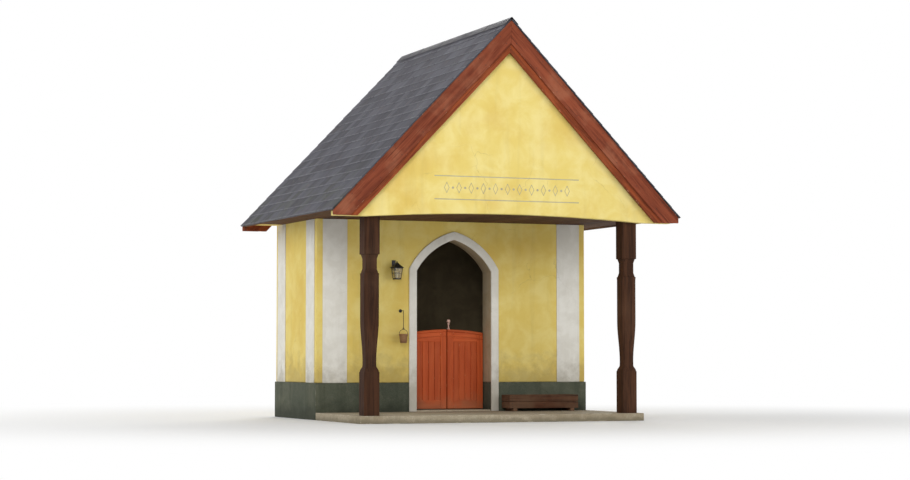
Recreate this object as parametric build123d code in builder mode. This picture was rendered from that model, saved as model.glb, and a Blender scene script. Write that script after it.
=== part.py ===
from build123d import *
from math import cos, hypot, radians, sin, sqrt, tan
import os

# Small chapel with a roofed porch. Millimetres: X to the right along the front, Y into the
# building, Z up from the ground. The origin lies under the middle of the roof.

# Ground plan
porch_depth = 1870
body_depth = 1800
front_verge = 150
back_verge = 230
wall_width = 4000
wall_thickness = 300

# Roof
roof_pitch = radians(46)
eaves_overhang = 480
slate_thickness = 25
boarding_thickness = 30
slate_overhang = 30
cap_thickness = 6
cap_wing = 140

# Levels
plinth_height = 500
plinth_projection = 15
porch_floor_height = 100
room_floor_height = 120
ceiling_clearance = 136
ceiling_thickness = 20

# Verge boards
board_setback = 20
bargeboard_thickness = 35
bargeboard_depth = 215
trim_thickness = 40
trim_depth = 295
verge_end_height = 73
verge_foot_drop = 75

# Porch gable panel
gable_thickness = 120
gable_arch_rise = 71
gable_arch_half_span = 1950
gable_eaves_margin = 80

# Porch posts and side beams
post_spacing = 3674
post_width = 208
post_arris = 8
post_foot_height = 565
post_flare_length = 75
post_waist_width = 146
post_waist_length = 60
post_taper_length = 530
post_shaft_width = 202
post_shaft_length = 590
post_cove_length = 65
post_neck_width = 152
post_neck_length = 120
slab_margin = 60
side_beam_height = 200

# Doorway with its raised surround
door_width = 1112
door_spring_height = 2035
door_arch_rise = 435
door_arch_radius = 930
surround_width = 110
surround_projection = 25

# Plaster bands near the corners
band_inset = 84
band_width = 351
band_projection = 10

# Half-height double gate
leaf_thickness = 45
gate_side_height = 1055
gate_camber = 48
leaf_floor_gap = 10
leaf_side_gap = 12
leaf_centre_gap = 12
stile_width = 90
bottom_rail_height = 120
panel_recess = 12
top_rail_height = 90
cap_rail_height = 36
cap_rail_projection = 8
meeting_batten_width = 60
meeting_batten_thickness = 10

# Gate hinges
pin_radius = 7
pin_side_distance = 20
pin_back_distance = 14
pin_clearance = 0.3
pin_stand = 14
eye_radius = 12
strap_length = 380
strap_height = 30
strap_thickness = 5
hinge_end_distance = 190
hinge_plate_thickness = 5
hinge_plate_height = 90
hinge_plate_width = 60
hinge_block_lap = 12
hinge_block_height = 28

# Turned finial on the meeting stile
finial_radius = 27
finial_base_radius = 22
finial_base_height = 14
finial_ring_radius = 16
finial_neck_radius = 10
finial_flare_height = 21
finial_stem_height = 34
finial_ring_height = 9
finial_knob_height = 28
finial_edge_margin = 4

# Wall lantern
lantern_door_gap = 224
lantern_base_height = 1905
lantern_reach = 130
lantern_bottom_width = 92
lantern_top_width = 126
lantern_cage_height = 150
lantern_bar = 8
lantern_roof_width = 152
lantern_roof_height = 68
lantern_roof_top_width = 30
lantern_plate_thickness = 9
lantern_plate_width = 56
lantern_glass_clearance = 0.5
lantern_arm = 14

# Hanging pot
pot_door_gap = 124
pot_bottom_height = 1040
pot_height = 125
pot_reach = 120
pot_bottom_radius = 44
pot_rim_radius = 64
pot_wall = 7
hanger_radius = 4
hanger_arm_height = 1480
hanger_plate_radius = 24
hanger_plate_thickness = 6

# Plank trough beside the door
trough_door_gap = 44
trough_length = 1050
trough_width = 280
trough_top_height = 325
trough_board = 25
trough_skid_height = 40
trough_skid_width = 60
trough_skid_inset = 60
trough_wall_gap = 3

# Planes and lines that the pieces share
roof_length = front_verge + porch_depth + body_depth + back_verge
roof_front = -roof_length / 2
roof_back = roof_length / 2
gable_front = roof_front + front_verge
gable_back = gable_front + gable_thickness
wall_front = gable_front + porch_depth
wall_back = wall_front + body_depth
half_wall = wall_width / 2
room_half_width = half_wall - wall_thickness
room_front = wall_front + wall_thickness
room_back = wall_back - wall_thickness
plinth_half = half_wall + plinth_projection
half_door = door_width / 2
surround_half = half_door + surround_width

# Levels and roof lines that follow from the doorway and the walls
arch_chord = hypot(half_door, door_arch_rise)
arch_lead = sqrt(door_arch_radius**2 - (arch_chord / 2) ** 2)
arch_centre_x = half_door / 2 - arch_lead * door_arch_rise / arch_chord
arch_centre_z = door_spring_height + door_arch_rise / 2 - arch_lead * half_door / arch_chord
surround_arch_radius = door_arch_radius + surround_width
surround_top = arch_centre_z + sqrt(surround_arch_radius**2 - arch_centre_x**2)
ceiling_height = surround_top + ceiling_clearance
verge_foot_height = ceiling_height - verge_foot_drop
eaves_half_width = half_wall + eaves_overhang
boarding_eaves = eaves_half_width - slate_overhang
boarding_underside = slate_thickness + boarding_thickness
board_end_top = verge_foot_height + verge_end_height
slate_apex = board_end_top + slate_thickness / cos(roof_pitch) + boarding_eaves * tan(roof_pitch)
ridge_height = slate_apex + cap_thickness / cos(roof_pitch)
gable_half_width = eaves_half_width - gable_eaves_margin

# Places of the posts, the gate and the fittings
post_x = post_spacing / 2
post_front = gable_back
post_centre_y = post_front + post_width / 2
beam_half_gap = post_x - post_width / 2
beam_outer = post_x + post_width / 2
slab_front = post_front - slab_margin
gate_back = room_front
gate_front = gate_back - leaf_thickness
leaf_bottom = room_floor_height + leaf_floor_gap
gate_side_top = leaf_bottom + gate_side_height
gate_crown = gate_side_top + gate_camber
hinge_heights = (leaf_bottom + hinge_end_distance, gate_side_top - hinge_end_distance)
lantern_x = -surround_half - lantern_door_gap
pot_x = -surround_half - pot_door_gap
trough_start = surround_half + trough_door_gap

SIDES = (("left", -1), ("right", 1))
FROM_CORNER = (Align.MIN, Align.MIN, Align.MIN)
FROM_MIDDLE = (Align.CENTER, Align.MIN, Align.MIN)


def roof_z(x, depth):
    # height of the line that lies a given depth below the face of the slates
    return slate_apex - depth / cos(roof_pitch) - abs(x) * tan(roof_pitch)


def roof_x(z, depth):
    # distance from the middle at which that line reaches height z
    return (slate_apex - depth / cos(roof_pitch) - z) / tan(roof_pitch)


def elevation(y):
    # upright plane across the building; an extrusion from it runs towards the front
    return Plane.XZ.offset(-y)


def span(a, b):
    # lower end and length of a stretch, whichever way round its ends are given
    return min(a, b), abs(b - a)


def save(part, name):
    part.label = name
    export_step(part, f"parts/{name}.step")


def arch_z(x, grow):
    # height of the door arch, widened by grow, at a distance x from the middle
    return arch_centre_z + sqrt((door_arch_radius + grow) ** 2 - (x - arch_centre_x) ** 2)


def doorway(grow, foot):
    # pointed opening outline, widened all round by grow, down to the height foot
    half = half_door + grow
    with BuildSketch() as outline:
        with BuildLine():
            for sign in (-1, 1):
                ThreePointArc(
                    (sign * half, arch_z(half, grow)),
                    (sign * half / 2, arch_z(half / 2, grow)),
                    (0, arch_z(0, grow)),
                )
            Polyline(
                (half, arch_z(half, grow)),
                (half, foot),
                (-half, foot),
                (-half, arch_z(half, grow)),
            )
        make_face()
    return outline.sketch


os.makedirs("parts", exist_ok=True)

# Plinth and floors
for side, sign in SIDES:
    with BuildPart() as plinth_front:
        with BuildSketch():
            Polygon(
                (sign * half_door, wall_front),
                (sign * surround_half, wall_front),
                (sign * surround_half, wall_front - plinth_projection),
                (sign * plinth_half, wall_front - plinth_projection),
                (sign * plinth_half, room_front),
                (sign * half_door, room_front),
            )
        extrude(amount=plinth_height)
    save(plinth_front.part, f"plinth_front_{side}")

    low_x, length_x = span(sign * room_half_width, sign * plinth_half)
    with BuildPart() as plinth_side:
        with Locations((low_x, room_front, 0)):
            Box(length_x, room_back - room_front, plinth_height, align=FROM_CORNER)
    save(plinth_side.part, f"plinth_{side}")

with BuildPart() as plinth_back:
    with Locations((0, room_back, 0)):
        Box(2 * plinth_half, wall_thickness + plinth_projection, plinth_height, align=FROM_MIDDLE)
save(plinth_back.part, "plinth_back")

with BuildPart() as room_floor:
    with Locations((0, room_front, 0)):
        Box(2 * room_half_width, room_back - room_front, room_floor_height, align=FROM_MIDDLE)
save(room_floor.part, "room_floor")

with BuildPart() as door_sill:
    with Locations((0, wall_front, 0)):
        Box(door_width, wall_thickness, room_floor_height, align=FROM_MIDDLE)
save(door_sill.part, "door_sill")

with BuildPart() as porch_floor:
    with BuildSketch():
        Polygon(
            (-plinth_half, slab_front),
            (plinth_half, slab_front),
            (plinth_half, wall_front - plinth_projection),
            (surround_half, wall_front - plinth_projection),
            (surround_half, wall_front),
            (-surround_half, wall_front),
            (-surround_half, wall_front - plinth_projection),
            (-plinth_half, wall_front - plinth_projection),
        )
    extrude(amount=porch_floor_height)
save(porch_floor.part, "porch_floor")

# Walls of the room
for side, sign in SIDES:
    low_x, length_x = span(sign * half_door, sign * half_wall)
    with BuildPart() as front_wall:
        with Locations((low_x, wall_front, plinth_height)):
            Box(length_x, wall_thickness, door_spring_height - plinth_height, align=FROM_CORNER)
    save(front_wall.part, f"front_wall_{side}")

    with BuildPart() as side_wall:
        with BuildSketch(elevation(room_back)):
            Polygon(
                (sign * half_wall, plinth_height),
                (sign * half_wall, roof_z(half_wall, boarding_underside)),
                (sign * room_half_width, roof_z(room_half_width, boarding_underside)),
                (sign * room_half_width, plinth_height),
            )
        extrude(amount=room_back - room_front)
    save(side_wall.part, f"{side}_wall")

with BuildPart() as front_wall_gable:
    with BuildSketch(elevation(room_front)):
        Polygon(
            (-half_wall, door_spring_height),
            (half_wall, door_spring_height),
            (half_wall, roof_z(half_wall, boarding_underside)),
            (0, roof_z(0, boarding_underside)),
            (-half_wall, roof_z(half_wall, boarding_underside)),
        )
        add(doorway(0, door_spring_height - surround_width), mode=Mode.SUBTRACT)
    extrude(amount=wall_thickness)
save(front_wall_gable.part, "front_wall_gable")

soffit_edge = roof_x(ceiling_height, boarding_underside)
with BuildPart() as back_wall:
    with BuildSketch(elevation(wall_back)):
        Polygon(
            (-half_wall, plinth_height),
            (half_wall, plinth_height),
            (half_wall, ceiling_height),
            (soffit_edge, ceiling_height),
            (0, roof_z(0, boarding_underside)),
            (-soffit_edge, ceiling_height),
            (-half_wall, ceiling_height),
        )
    extrude(amount=wall_thickness)
save(back_wall.part, "back_wall")

# Raised plaster bands near the corners
band_height = ceiling_height - plinth_height
band_middle = half_wall - band_inset - band_width / 2
with BuildPart() as bands_front:
    with Locations(*[(sign * band_middle, wall_front - band_projection, plinth_height) for _, sign in SIDES]):
        Box(band_width, band_projection, band_height, align=FROM_MIDDLE)
save(bands_front.part, "corner_bands_front")

with BuildPart() as bands_back:
    with Locations(*[(sign * band_middle, wall_back, plinth_height) for _, sign in SIDES]):
        Box(band_width, band_projection, band_height, align=FROM_MIDDLE)
save(bands_back.part, "corner_bands_back")

band_starts = (wall_front + band_inset, wall_back - band_inset - band_width)
for side, sign in SIDES:
    low_x, length_x = span(sign * half_wall, sign * (half_wall + band_projection))
    with BuildPart() as bands_side:
        with Locations(*[(low_x, y, plinth_height) for y in band_starts]):
            Box(length_x, band_width, band_height, align=FROM_CORNER)
    save(bands_side.part, f"corner_bands_{side}")

# Raised surround of the doorway
with BuildPart() as door_surround:
    with BuildSketch(elevation(wall_front)):
        add(doorway(surround_width, porch_floor_height))
        add(doorway(0, porch_floor_height - surround_width), mode=Mode.SUBTRACT)
    extrude(amount=surround_projection)
save(door_surround.part, "door_surround")

# Carved porch posts: square foot and head, waisted shaft
post_steps = (
    (post_foot_height, post_width),
    (post_flare_length, post_waist_width),
    (post_waist_length, post_waist_width),
    (post_taper_length, post_shaft_width),
    (post_shaft_length, post_shaft_width),
    (post_cove_length, post_neck_width),
    (post_neck_length, post_neck_width),
    (post_cove_length, post_width),
)
post_profile = [(porch_floor_height, post_width)]
for length, width in post_steps:
    post_profile.append((post_profile[-1][0] + length, width))
post_profile.append((ceiling_height, post_width))
for side, sign in SIDES:
    with BuildPart() as post:
        for (low_z, low_width), (high_z, high_width) in zip(post_profile, post_profile[1:]):
            for z, width in ((low_z, low_width), (high_z, high_width)):
                with BuildSketch(Plane.XY.offset(z)) as section:
                    with Locations((sign * post_x, post_centre_y)):
                        Rectangle(width, width)
                    chamfer(section.vertices(), post_arris)
            loft(ruled=True)
    save(post.part, f"porch_post_{side}")

    low_x, length_x = span(sign * beam_half_gap, sign * beam_outer)
    with BuildPart() as side_beam:
        with Locations((low_x, gable_back, ceiling_height)):
            Box(length_x, wall_front - gable_back, side_beam_height, align=FROM_CORNER)
    save(side_beam.part, f"side_beam_{side}")

# Ceilings and the boards under the eaves
with BuildPart() as porch_ceiling:
    with Locations((0, gable_back, ceiling_height)):
        Box(2 * beam_half_gap, wall_front - gable_back, ceiling_thickness, align=FROM_MIDDLE)
save(porch_ceiling.part, "porch_ceiling")

with BuildPart() as room_ceiling:
    with Locations((0, room_front, ceiling_height)):
        Box(2 * room_half_width, room_back - room_front, ceiling_thickness, align=FROM_MIDDLE)
save(room_ceiling.part, "room_ceiling")

soffit_top = ceiling_height + ceiling_thickness
for side, sign in SIDES:
    with BuildPart() as soffit:
        with BuildSketch(elevation(wall_front)):
            Polygon(
                (sign * beam_outer, ceiling_height),
                (sign * soffit_edge, ceiling_height),
                (sign * roof_x(soffit_top, boarding_underside), soffit_top),
                (sign * beam_outer, soffit_top),
            )
        extrude(amount=wall_front - gable_back)
        with BuildSketch(elevation(room_back)):
            Polygon(
                (sign * half_wall, ceiling_height),
                (sign * soffit_edge, ceiling_height),
                (sign * roof_x(soffit_top, boarding_underside), soffit_top),
                (sign * half_wall, soffit_top),
            )
        extrude(amount=room_back - wall_front)
    save(soffit.part, f"eaves_soffit_{side}")

# Plastered gable panel over the porch, with a shallow arched lower edge
with BuildPart() as front_gable:
    with BuildSketch(elevation(gable_back)):
        with BuildLine():
            ThreePointArc(
                (-gable_arch_half_span, verge_foot_height),
                (0, verge_foot_height + gable_arch_rise),
                (gable_arch_half_span, verge_foot_height),
            )
            Polyline(
                (gable_arch_half_span, verge_foot_height),
                (gable_half_width, verge_foot_height),
                (gable_half_width, roof_z(gable_half_width, boarding_underside)),
                (0, roof_z(0, boarding_underside)),
                (-gable_half_width, roof_z(gable_half_width, boarding_underside)),
                (-gable_half_width, verge_foot_height),
                (-gable_arch_half_span, verge_foot_height),
            )
        make_face()
    extrude(amount=gable_thickness)
save(front_gable.part, "front_gable")


def slope_layer(sign, top, bottom, eaves_x):
    # section of a layer of the roof slope, cut square to the slope at the eaves
    drop = bottom - top
    return (
        (0, roof_z(0, top)),
        (sign * eaves_x, roof_z(eaves_x, top)),
        (sign * (eaves_x - drop * sin(roof_pitch)), roof_z(eaves_x, top) - drop * cos(roof_pitch)),
        (0, roof_z(0, bottom)),
    )


def verge_strip(sign, top, bottom, end_x):
    # section of a board along the verge, with a plumb end and a level foot
    return (
        (0, roof_z(0, top)),
        (sign * end_x, roof_z(end_x, top)),
        (sign * end_x, verge_foot_height),
        (sign * roof_x(verge_foot_height, bottom), verge_foot_height),
        (0, roof_z(0, bottom)),
    )


# Roof covering
board_front = roof_front + board_setback + bargeboard_thickness
board_back = roof_back - board_setback - bargeboard_thickness
for side, sign in SIDES:
    with BuildPart() as slates:
        with BuildSketch(elevation(roof_back)):
            Polygon(*slope_layer(sign, 0, slate_thickness, eaves_half_width))
        extrude(amount=roof_length)
    save(slates.part, f"roof_slates_{side}")

    with BuildPart() as boarding:
        with BuildSketch(elevation(board_back)):
            Polygon(*slope_layer(sign, slate_thickness, boarding_underside, boarding_eaves))
        extrude(amount=board_back - board_front)
    save(boarding.part, f"roof_boarding_{side}")

with BuildPart() as ridge_cap:
    wing_x = cap_wing * cos(roof_pitch)
    wing_z = ridge_height - cap_wing * sin(roof_pitch)
    inset_x = cap_thickness * sin(roof_pitch)
    inset_z = cap_thickness * cos(roof_pitch)
    with BuildSketch(elevation(roof_back)):
        Polygon(
            (0, ridge_height),
            (wing_x, wing_z),
            (wing_x - inset_x, wing_z - inset_z),
            (0, slate_apex),
            (inset_x - wing_x, wing_z - inset_z),
            (-wing_x, wing_z),
        )
    extrude(amount=roof_length)
save(ridge_cap.part, "ridge_cap")

# Bargeboards with a deeper trim board behind each, at both gables
bargeboard_bottom = slate_thickness + bargeboard_depth
trim_bottom = slate_thickness + trim_depth
for end, inner_face in (("front", board_front), ("back", roof_back - board_setback)):
    for side, sign in SIDES:
        with BuildPart() as bargeboard:
            with BuildSketch(elevation(inner_face)):
                Polygon(*verge_strip(sign, slate_thickness, bargeboard_bottom, boarding_eaves))
            extrude(amount=bargeboard_thickness)
        save(bargeboard.part, f"bargeboard_{end}_{side}")

for end, back_face in (("front", board_front + trim_thickness), ("back", board_back)):
    for side, sign in SIDES:
        with BuildPart() as verge_trim:
            with BuildSketch(elevation(back_face)):
                Polygon(*verge_strip(sign, boarding_underside, trim_bottom, gable_half_width))
            extrude(amount=trim_thickness)
        save(verge_trim.part, f"verge_trim_{end}_{side}")

# Gate leaves, each with a recessed panel, a cambered cap rail and two strap hinges
panel_bottom = leaf_bottom + bottom_rail_height
panel_top = gate_side_top - cap_rail_height - top_rail_height
pin_y = gate_back + pin_back_distance


def gate_outline(drop, foot):
    # outline across both leaves, with its cambered top lowered by drop
    with BuildSketch() as outline:
        with BuildLine():
            ThreePointArc(
                (-half_door, gate_side_top - drop),
                (0, gate_crown - drop),
                (half_door, gate_side_top - drop),
            )
            Polyline(
                (half_door, gate_side_top - drop),
                (half_door, foot),
                (-half_door, foot),
                (-half_door, gate_side_top - drop),
            )
        make_face()
    return outline.sketch


for side, sign in SIDES:
    hinge_edge = sign * (half_door - leaf_side_gap)
    meeting_edge = sign * leaf_centre_gap / 2
    pin_x = sign * (half_door - pin_side_distance)
    low_x, length_x = span(meeting_edge, hinge_edge)
    with BuildPart() as leaf:
        with BuildSketch(elevation(gate_back)):
            add(gate_outline(cap_rail_height, leaf_bottom))
            with Locations((low_x, leaf_bottom)):
                Rectangle(length_x, gate_crown, align=(Align.MIN, Align.MIN), mode=Mode.INTERSECT)
        extrude(amount=leaf_thickness)
        with BuildSketch(elevation(gate_back + cap_rail_projection)):
            add(gate_outline(0, leaf_bottom))
            add(gate_outline(cap_rail_height, leaf_bottom), mode=Mode.SUBTRACT)
            with Locations((low_x, leaf_bottom)):
                Rectangle(length_x, gate_crown, align=(Align.MIN, Align.MIN), mode=Mode.INTERSECT)
        extrude(amount=leaf_thickness + 2 * cap_rail_projection)
        for face_y in (gate_front, gate_back - panel_recess):
            with Locations((low_x + stile_width, face_y, panel_bottom)):
                Box(
                    length_x - 2 * stile_width,
                    panel_recess,
                    panel_top - panel_bottom,
                    align=FROM_CORNER,
                    mode=Mode.SUBTRACT,
                )
        if side == "right":
            with Locations((meeting_edge, gate_front - meeting_batten_thickness, leaf_bottom)):
                Box(
                    meeting_batten_width,
                    meeting_batten_thickness,
                    gate_side_top - cap_rail_height - leaf_bottom,
                    align=FROM_CORNER,
                )
    save(leaf.part, f"gate_leaf_{side}")

    strap_low, strap_span = span(pin_x, pin_x - sign * strap_length)
    with BuildPart() as straps:
        for height in hinge_heights:
            with Locations((strap_low, gate_back, height - strap_height / 2)):
                Box(strap_span, strap_thickness, strap_height, align=FROM_CORNER)
            with Locations((pin_x, pin_y, height)):
                Cylinder(eye_radius, strap_height)
                Cylinder(pin_radius + pin_clearance, strap_height, mode=Mode.SUBTRACT)
    save(straps.part, f"gate_straps_{side}")

    plate_low, plate_span = span(sign * half_door, sign * (half_door + hinge_plate_width))
    block_low, block_span = span(sign * (half_door + hinge_block_lap), pin_x)
    block_front = gate_back + hinge_plate_thickness
    with BuildPart() as pintles:
        for height in hinge_heights:
            block_top = height - strap_height / 2 - pin_clearance
            with Locations((plate_low, gate_back, block_top - hinge_plate_height / 2)):
                Box(plate_span, hinge_plate_thickness, hinge_plate_height, align=FROM_CORNER)
            with Locations((block_low, block_front, block_top - hinge_block_height)):
                Box(block_span, pin_y + pin_radius - block_front, hinge_block_height, align=FROM_CORNER)
            with Locations((pin_x, pin_y, block_top - hinge_block_height)):
                Cylinder(
                    pin_radius,
                    hinge_block_height + pin_clearance + strap_height + pin_stand,
                    align=(Align.CENTER, Align.CENTER, Align.MIN),
                )
    save(pintles.part, f"gate_pintles_{side}")

finial_x = leaf_centre_gap / 2 + finial_base_radius + finial_edge_margin
with BuildPart() as finial:
    flare_top = finial_base_height + finial_flare_height
    stem_top = flare_top + finial_stem_height
    ring_top = stem_top + 2 * finial_ring_height
    knob_centre = ring_top + finial_knob_height
    with BuildSketch(Plane.XZ):
        with BuildLine():
            Polyline(
                (0, knob_centre + finial_radius),
                (0, 0),
                (finial_base_radius, 0),
                (finial_base_radius, finial_base_height),
                (finial_neck_radius, flare_top),
                (finial_neck_radius, stem_top),
                (finial_ring_radius, stem_top + finial_ring_height),
                (finial_neck_radius, ring_top),
                (finial_radius, knob_centre),
            )
            CenterArc((0, knob_centre), finial_radius, 0, 90)
        make_face()
    revolve(axis=Axis.Z)
finial_part = finial.part.moved(Location((finial_x, gate_front + leaf_thickness / 2, gate_crown)))
save(finial_part, "gate_finial")

# Lantern on the wall left of the door
lantern_y = wall_front - lantern_reach
cage_bottom = lantern_base_height + lantern_plate_thickness
cage_top = cage_bottom + lantern_cage_height
with BuildPart() as lantern_frame:
    with Locations((lantern_x, lantern_y, lantern_base_height)):
        Box(
            lantern_bottom_width,
            lantern_bottom_width,
            lantern_plate_thickness,
            align=(Align.CENTER, Align.CENTER, Align.MIN),
        )
    for grow, kind in ((0, Mode.ADD), (-2 * lantern_bar, Mode.SUBTRACT)):
        for z, width in ((cage_bottom, lantern_bottom_width), (cage_top, lantern_top_width)):
            with BuildSketch(Plane.XY.offset(z)):
                with Locations((lantern_x, lantern_y)):
                    Rectangle(width + grow, width + grow)
        loft(mode=kind)
    pane_width = lantern_bottom_width - 2 * lantern_bar
    for size_x, size_y in ((pane_width, 2 * lantern_top_width), (2 * lantern_top_width, pane_width)):
        with Locations((lantern_x, lantern_y, (cage_bottom + cage_top) / 2)):
            Box(size_x, size_y, lantern_cage_height - 2 * lantern_bar, mode=Mode.SUBTRACT)
    for z, width in ((cage_top, lantern_roof_width), (cage_top + lantern_roof_height, lantern_roof_top_width)):
        with BuildSketch(Plane.XY.offset(z)):
            with Locations((lantern_x, lantern_y)):
                Rectangle(width, width)
    loft()
    with Locations((lantern_x, lantern_y, cage_top + lantern_roof_height + lantern_arm / 2)):
        Sphere(lantern_arm)
    with Locations((lantern_x, lantern_y, cage_top + lantern_roof_height / 2)):
        Box(lantern_arm, lantern_reach, lantern_arm, align=(Align.CENTER, Align.MIN, Align.CENTER))
    with Locations((lantern_x, wall_front - lantern_plate_thickness, cage_top + lantern_roof_height / 2)):
        Box(
            lantern_plate_width,
            lantern_plate_thickness,
            lantern_cage_height,
            align=(Align.CENTER, Align.MIN, Align.CENTER),
        )
save(lantern_frame.part, "wall_lantern")

glass_fit = 2 * (lantern_bar + lantern_glass_clearance)
with BuildPart() as lantern_glass:
    for z, width in ((cage_bottom, lantern_bottom_width), (cage_top, lantern_top_width)):
        with BuildSketch(Plane.XY.offset(z)):
            with Locations((lantern_x, lantern_y)):
                Rectangle(width - glass_fit, width - glass_fit)
    loft()
save(lantern_glass.part, "lantern_glass")

# Small pot hanging beside the door
pot_y = wall_front - pot_reach
with BuildPart() as pot:
    with BuildSketch(Plane.XZ):
        Polygon(
            (0, 0),
            (pot_bottom_radius, 0),
            (pot_rim_radius, pot_height),
            (pot_rim_radius - pot_wall, pot_height),
            (pot_bottom_radius - pot_wall, pot_wall),
            (0, pot_wall),
        )
    revolve(axis=Axis.Z)
save(pot.part.moved(Location((pot_x, pot_y, pot_bottom_height))), "hanging_pot")

bail_radius = pot_rim_radius - pot_wall / 2
pot_rim_height = pot_bottom_height + pot_height
bail_top = pot_rim_height + bail_radius
with BuildPart() as hanger:
    with BuildLine(Plane.XZ.offset(-pot_y)):
        bail = ThreePointArc(
            (pot_x - bail_radius, pot_rim_height),
            (pot_x, bail_top),
            (pot_x + bail_radius, pot_rim_height),
        )
    with BuildSketch(Plane(bail @ 0, z_dir=bail % 0)):
        Circle(hanger_radius)
    sweep()
    with Locations((pot_x, pot_y, bail_top)):
        Cylinder(
            hanger_radius,
            hanger_arm_height - bail_top,
            align=(Align.CENTER, Align.CENTER, Align.MIN),
        )
    with BuildSketch(elevation(wall_front)):
        with Locations((pot_x, hanger_arm_height)):
            Circle(hanger_radius)
    extrude(amount=pot_reach + hanger_radius)
    with BuildSketch(elevation(wall_front)):
        with Locations((pot_x, hanger_arm_height)):
            Circle(hanger_plate_radius)
    extrude(amount=hanger_plate_thickness)
save(hanger.part, "pot_hanger")

# Low plank trough against the wall right of the door
trough_back = wall_front - plinth_projection - trough_wall_gap
trough_bottom = porch_floor_height + trough_skid_height
with BuildPart() as trough:
    with Locations((trough_start, trough_back - trough_width, trough_bottom)):
        Box(trough_length, trough_width, trough_top_height - trough_bottom, align=FROM_CORNER)
    with Locations(
        (
            trough_start + trough_board,
            trough_back - trough_width + trough_board,
            trough_bottom + trough_board,
        )
    ):
        Box(
            trough_length - 2 * trough_board,
            trough_width - 2 * trough_board,
            trough_top_height - trough_bottom - trough_board,
            align=FROM_CORNER,
            mode=Mode.SUBTRACT,
        )
    trough_end = trough_start + trough_length
    for skid_x in (trough_start + trough_skid_inset, trough_end - trough_skid_inset - trough_skid_width):
        with Locations((skid_x, trough_back - trough_width, porch_floor_height)):
            Box(trough_skid_width, trough_width, trough_skid_height, align=FROM_CORNER)
save(trough.part, "plank_trough")
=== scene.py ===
import bmesh
import bpy
import math
import random
from mathutils import Matrix, Vector


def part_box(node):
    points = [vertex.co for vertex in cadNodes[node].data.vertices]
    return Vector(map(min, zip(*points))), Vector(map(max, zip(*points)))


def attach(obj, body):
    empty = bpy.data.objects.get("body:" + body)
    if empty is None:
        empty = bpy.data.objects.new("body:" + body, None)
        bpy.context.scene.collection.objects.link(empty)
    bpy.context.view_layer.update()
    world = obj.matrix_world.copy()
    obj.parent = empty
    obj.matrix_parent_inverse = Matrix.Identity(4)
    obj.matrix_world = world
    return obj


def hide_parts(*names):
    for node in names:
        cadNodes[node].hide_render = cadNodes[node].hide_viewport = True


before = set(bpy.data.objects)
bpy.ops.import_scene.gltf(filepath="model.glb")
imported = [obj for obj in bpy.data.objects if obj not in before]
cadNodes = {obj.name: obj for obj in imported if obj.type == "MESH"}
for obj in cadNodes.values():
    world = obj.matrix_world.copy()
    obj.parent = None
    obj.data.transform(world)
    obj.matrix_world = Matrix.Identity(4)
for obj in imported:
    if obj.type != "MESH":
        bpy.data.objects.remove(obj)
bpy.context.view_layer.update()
random.seed(11)
print("frame loaded:", len(cadNodes), "CAD nodes")

bothSides = ((-1, "left"), (1, "right"))
# directions along the grain, across it and through the piece
upright = ((0, 0, 1), (1, 0, 0), (0, 1, 0))
alongX = ((1, 0, 0), (0, 0, 1), (0, 1, 0))
alongY = ((0, 1, 0), (1, 0, 0), (0, 0, 1))


# shader helpers

def shaderColour(screen):
    # a colour as it looks on screen, 0 to 255, as the values that a shader takes
    def toLinear(value):
        value /= 255
        return value / 12.92 if value <= 0.04045 else ((value + 0.055) / 1.055) ** 2.4
    return (*map(toLinear, screen), 1.0)


def shaderLook(look):
    return {key: shaderColour(value) if isinstance(value, tuple) else value for key, value in look.items()}


def feed(socket, value):
    # a link where value is another node's output, otherwise a plain setting
    if isinstance(value, bpy.types.NodeSocket):
        socket.id_data.links.new(value, socket)
    else:
        socket.default_value = value


def addNode(tree, kind, inputs={}, **settings):
    made = tree.nodes.new("ShaderNode" + kind)
    for key, value in settings.items():
        setattr(made, key, value)
    for key, value in inputs.items():
        feed(made.inputs[key], value)
    return made


def noiseOf(tree, vector, scale, detail=4.0, roughness=0.55, distortion=0.0, output="Fac"):
    inputs = {"Vector": vector, "Scale": scale, "Detail": detail, "Roughness": roughness, "Distortion": distortion}
    return addNode(tree, "TexNoise", inputs).outputs[output]


def remap(tree, value, low, high, toLow=0.0, toHigh=1.0):
    inputs = {"Value": value, "From Min": low, "From Max": high, "To Min": toLow, "To Max": toHigh}
    return addNode(tree, "MapRange", inputs, interpolation_type="SMOOTHSTEP").outputs["Result"]


def mathOf(tree, operation, first, second):
    return addNode(tree, "Math", {0: first, 1: second}, operation=operation).outputs["Value"]


def times(tree, first, second):
    return mathOf(tree, "MULTIPLY", first, second)


def stretch(tree, vector, scale):
    return addNode(tree, "VectorMath", {0: vector, 1: scale}, operation="MULTIPLY").outputs["Vector"]


def mixOf(tree, factor, first, second):
    return addNode(tree, "Mix", {0: factor, 6: first, 7: second}, data_type="RGBA").outputs[2]


def brighten(tree, colour, value):
    return addNode(tree, "HueSaturation", {"Color": colour, "Value": value}).outputs["Color"]


def meshValue(tree, name, output="Fac"):
    return addNode(tree, "Attribute", attribute_name=name).outputs[output]


def placeOf(tree):
    return addNode(tree, "TexCoord").outputs["Object"]


def newGroup(name, inputs, build):
    # an effect with a Vector and named numbers going in, and what build returns coming out
    group = bpy.data.node_groups.new(name, "ShaderNodeTree")
    group.interface.new_socket("Vector", in_out="INPUT", socket_type="NodeSocketVector")
    for label, value in inputs.items():
        group.interface.new_socket(label, in_out="INPUT", socket_type="NodeSocketFloat").default_value = value
    results = build(group, group.nodes.new("NodeGroupInput").outputs)
    for label in results:
        group.interface.new_socket(label, in_out="OUTPUT", socket_type="NodeSocketFloat")
    end = group.nodes.new("NodeGroupOutput")
    for label, value in results.items():
        feed(end.inputs[label], value)
    return group


def useGroup(tree, group, vector, **values):
    return addNode(tree, "Group", {"Vector": vector, **values}, node_tree=group).outputs


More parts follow.
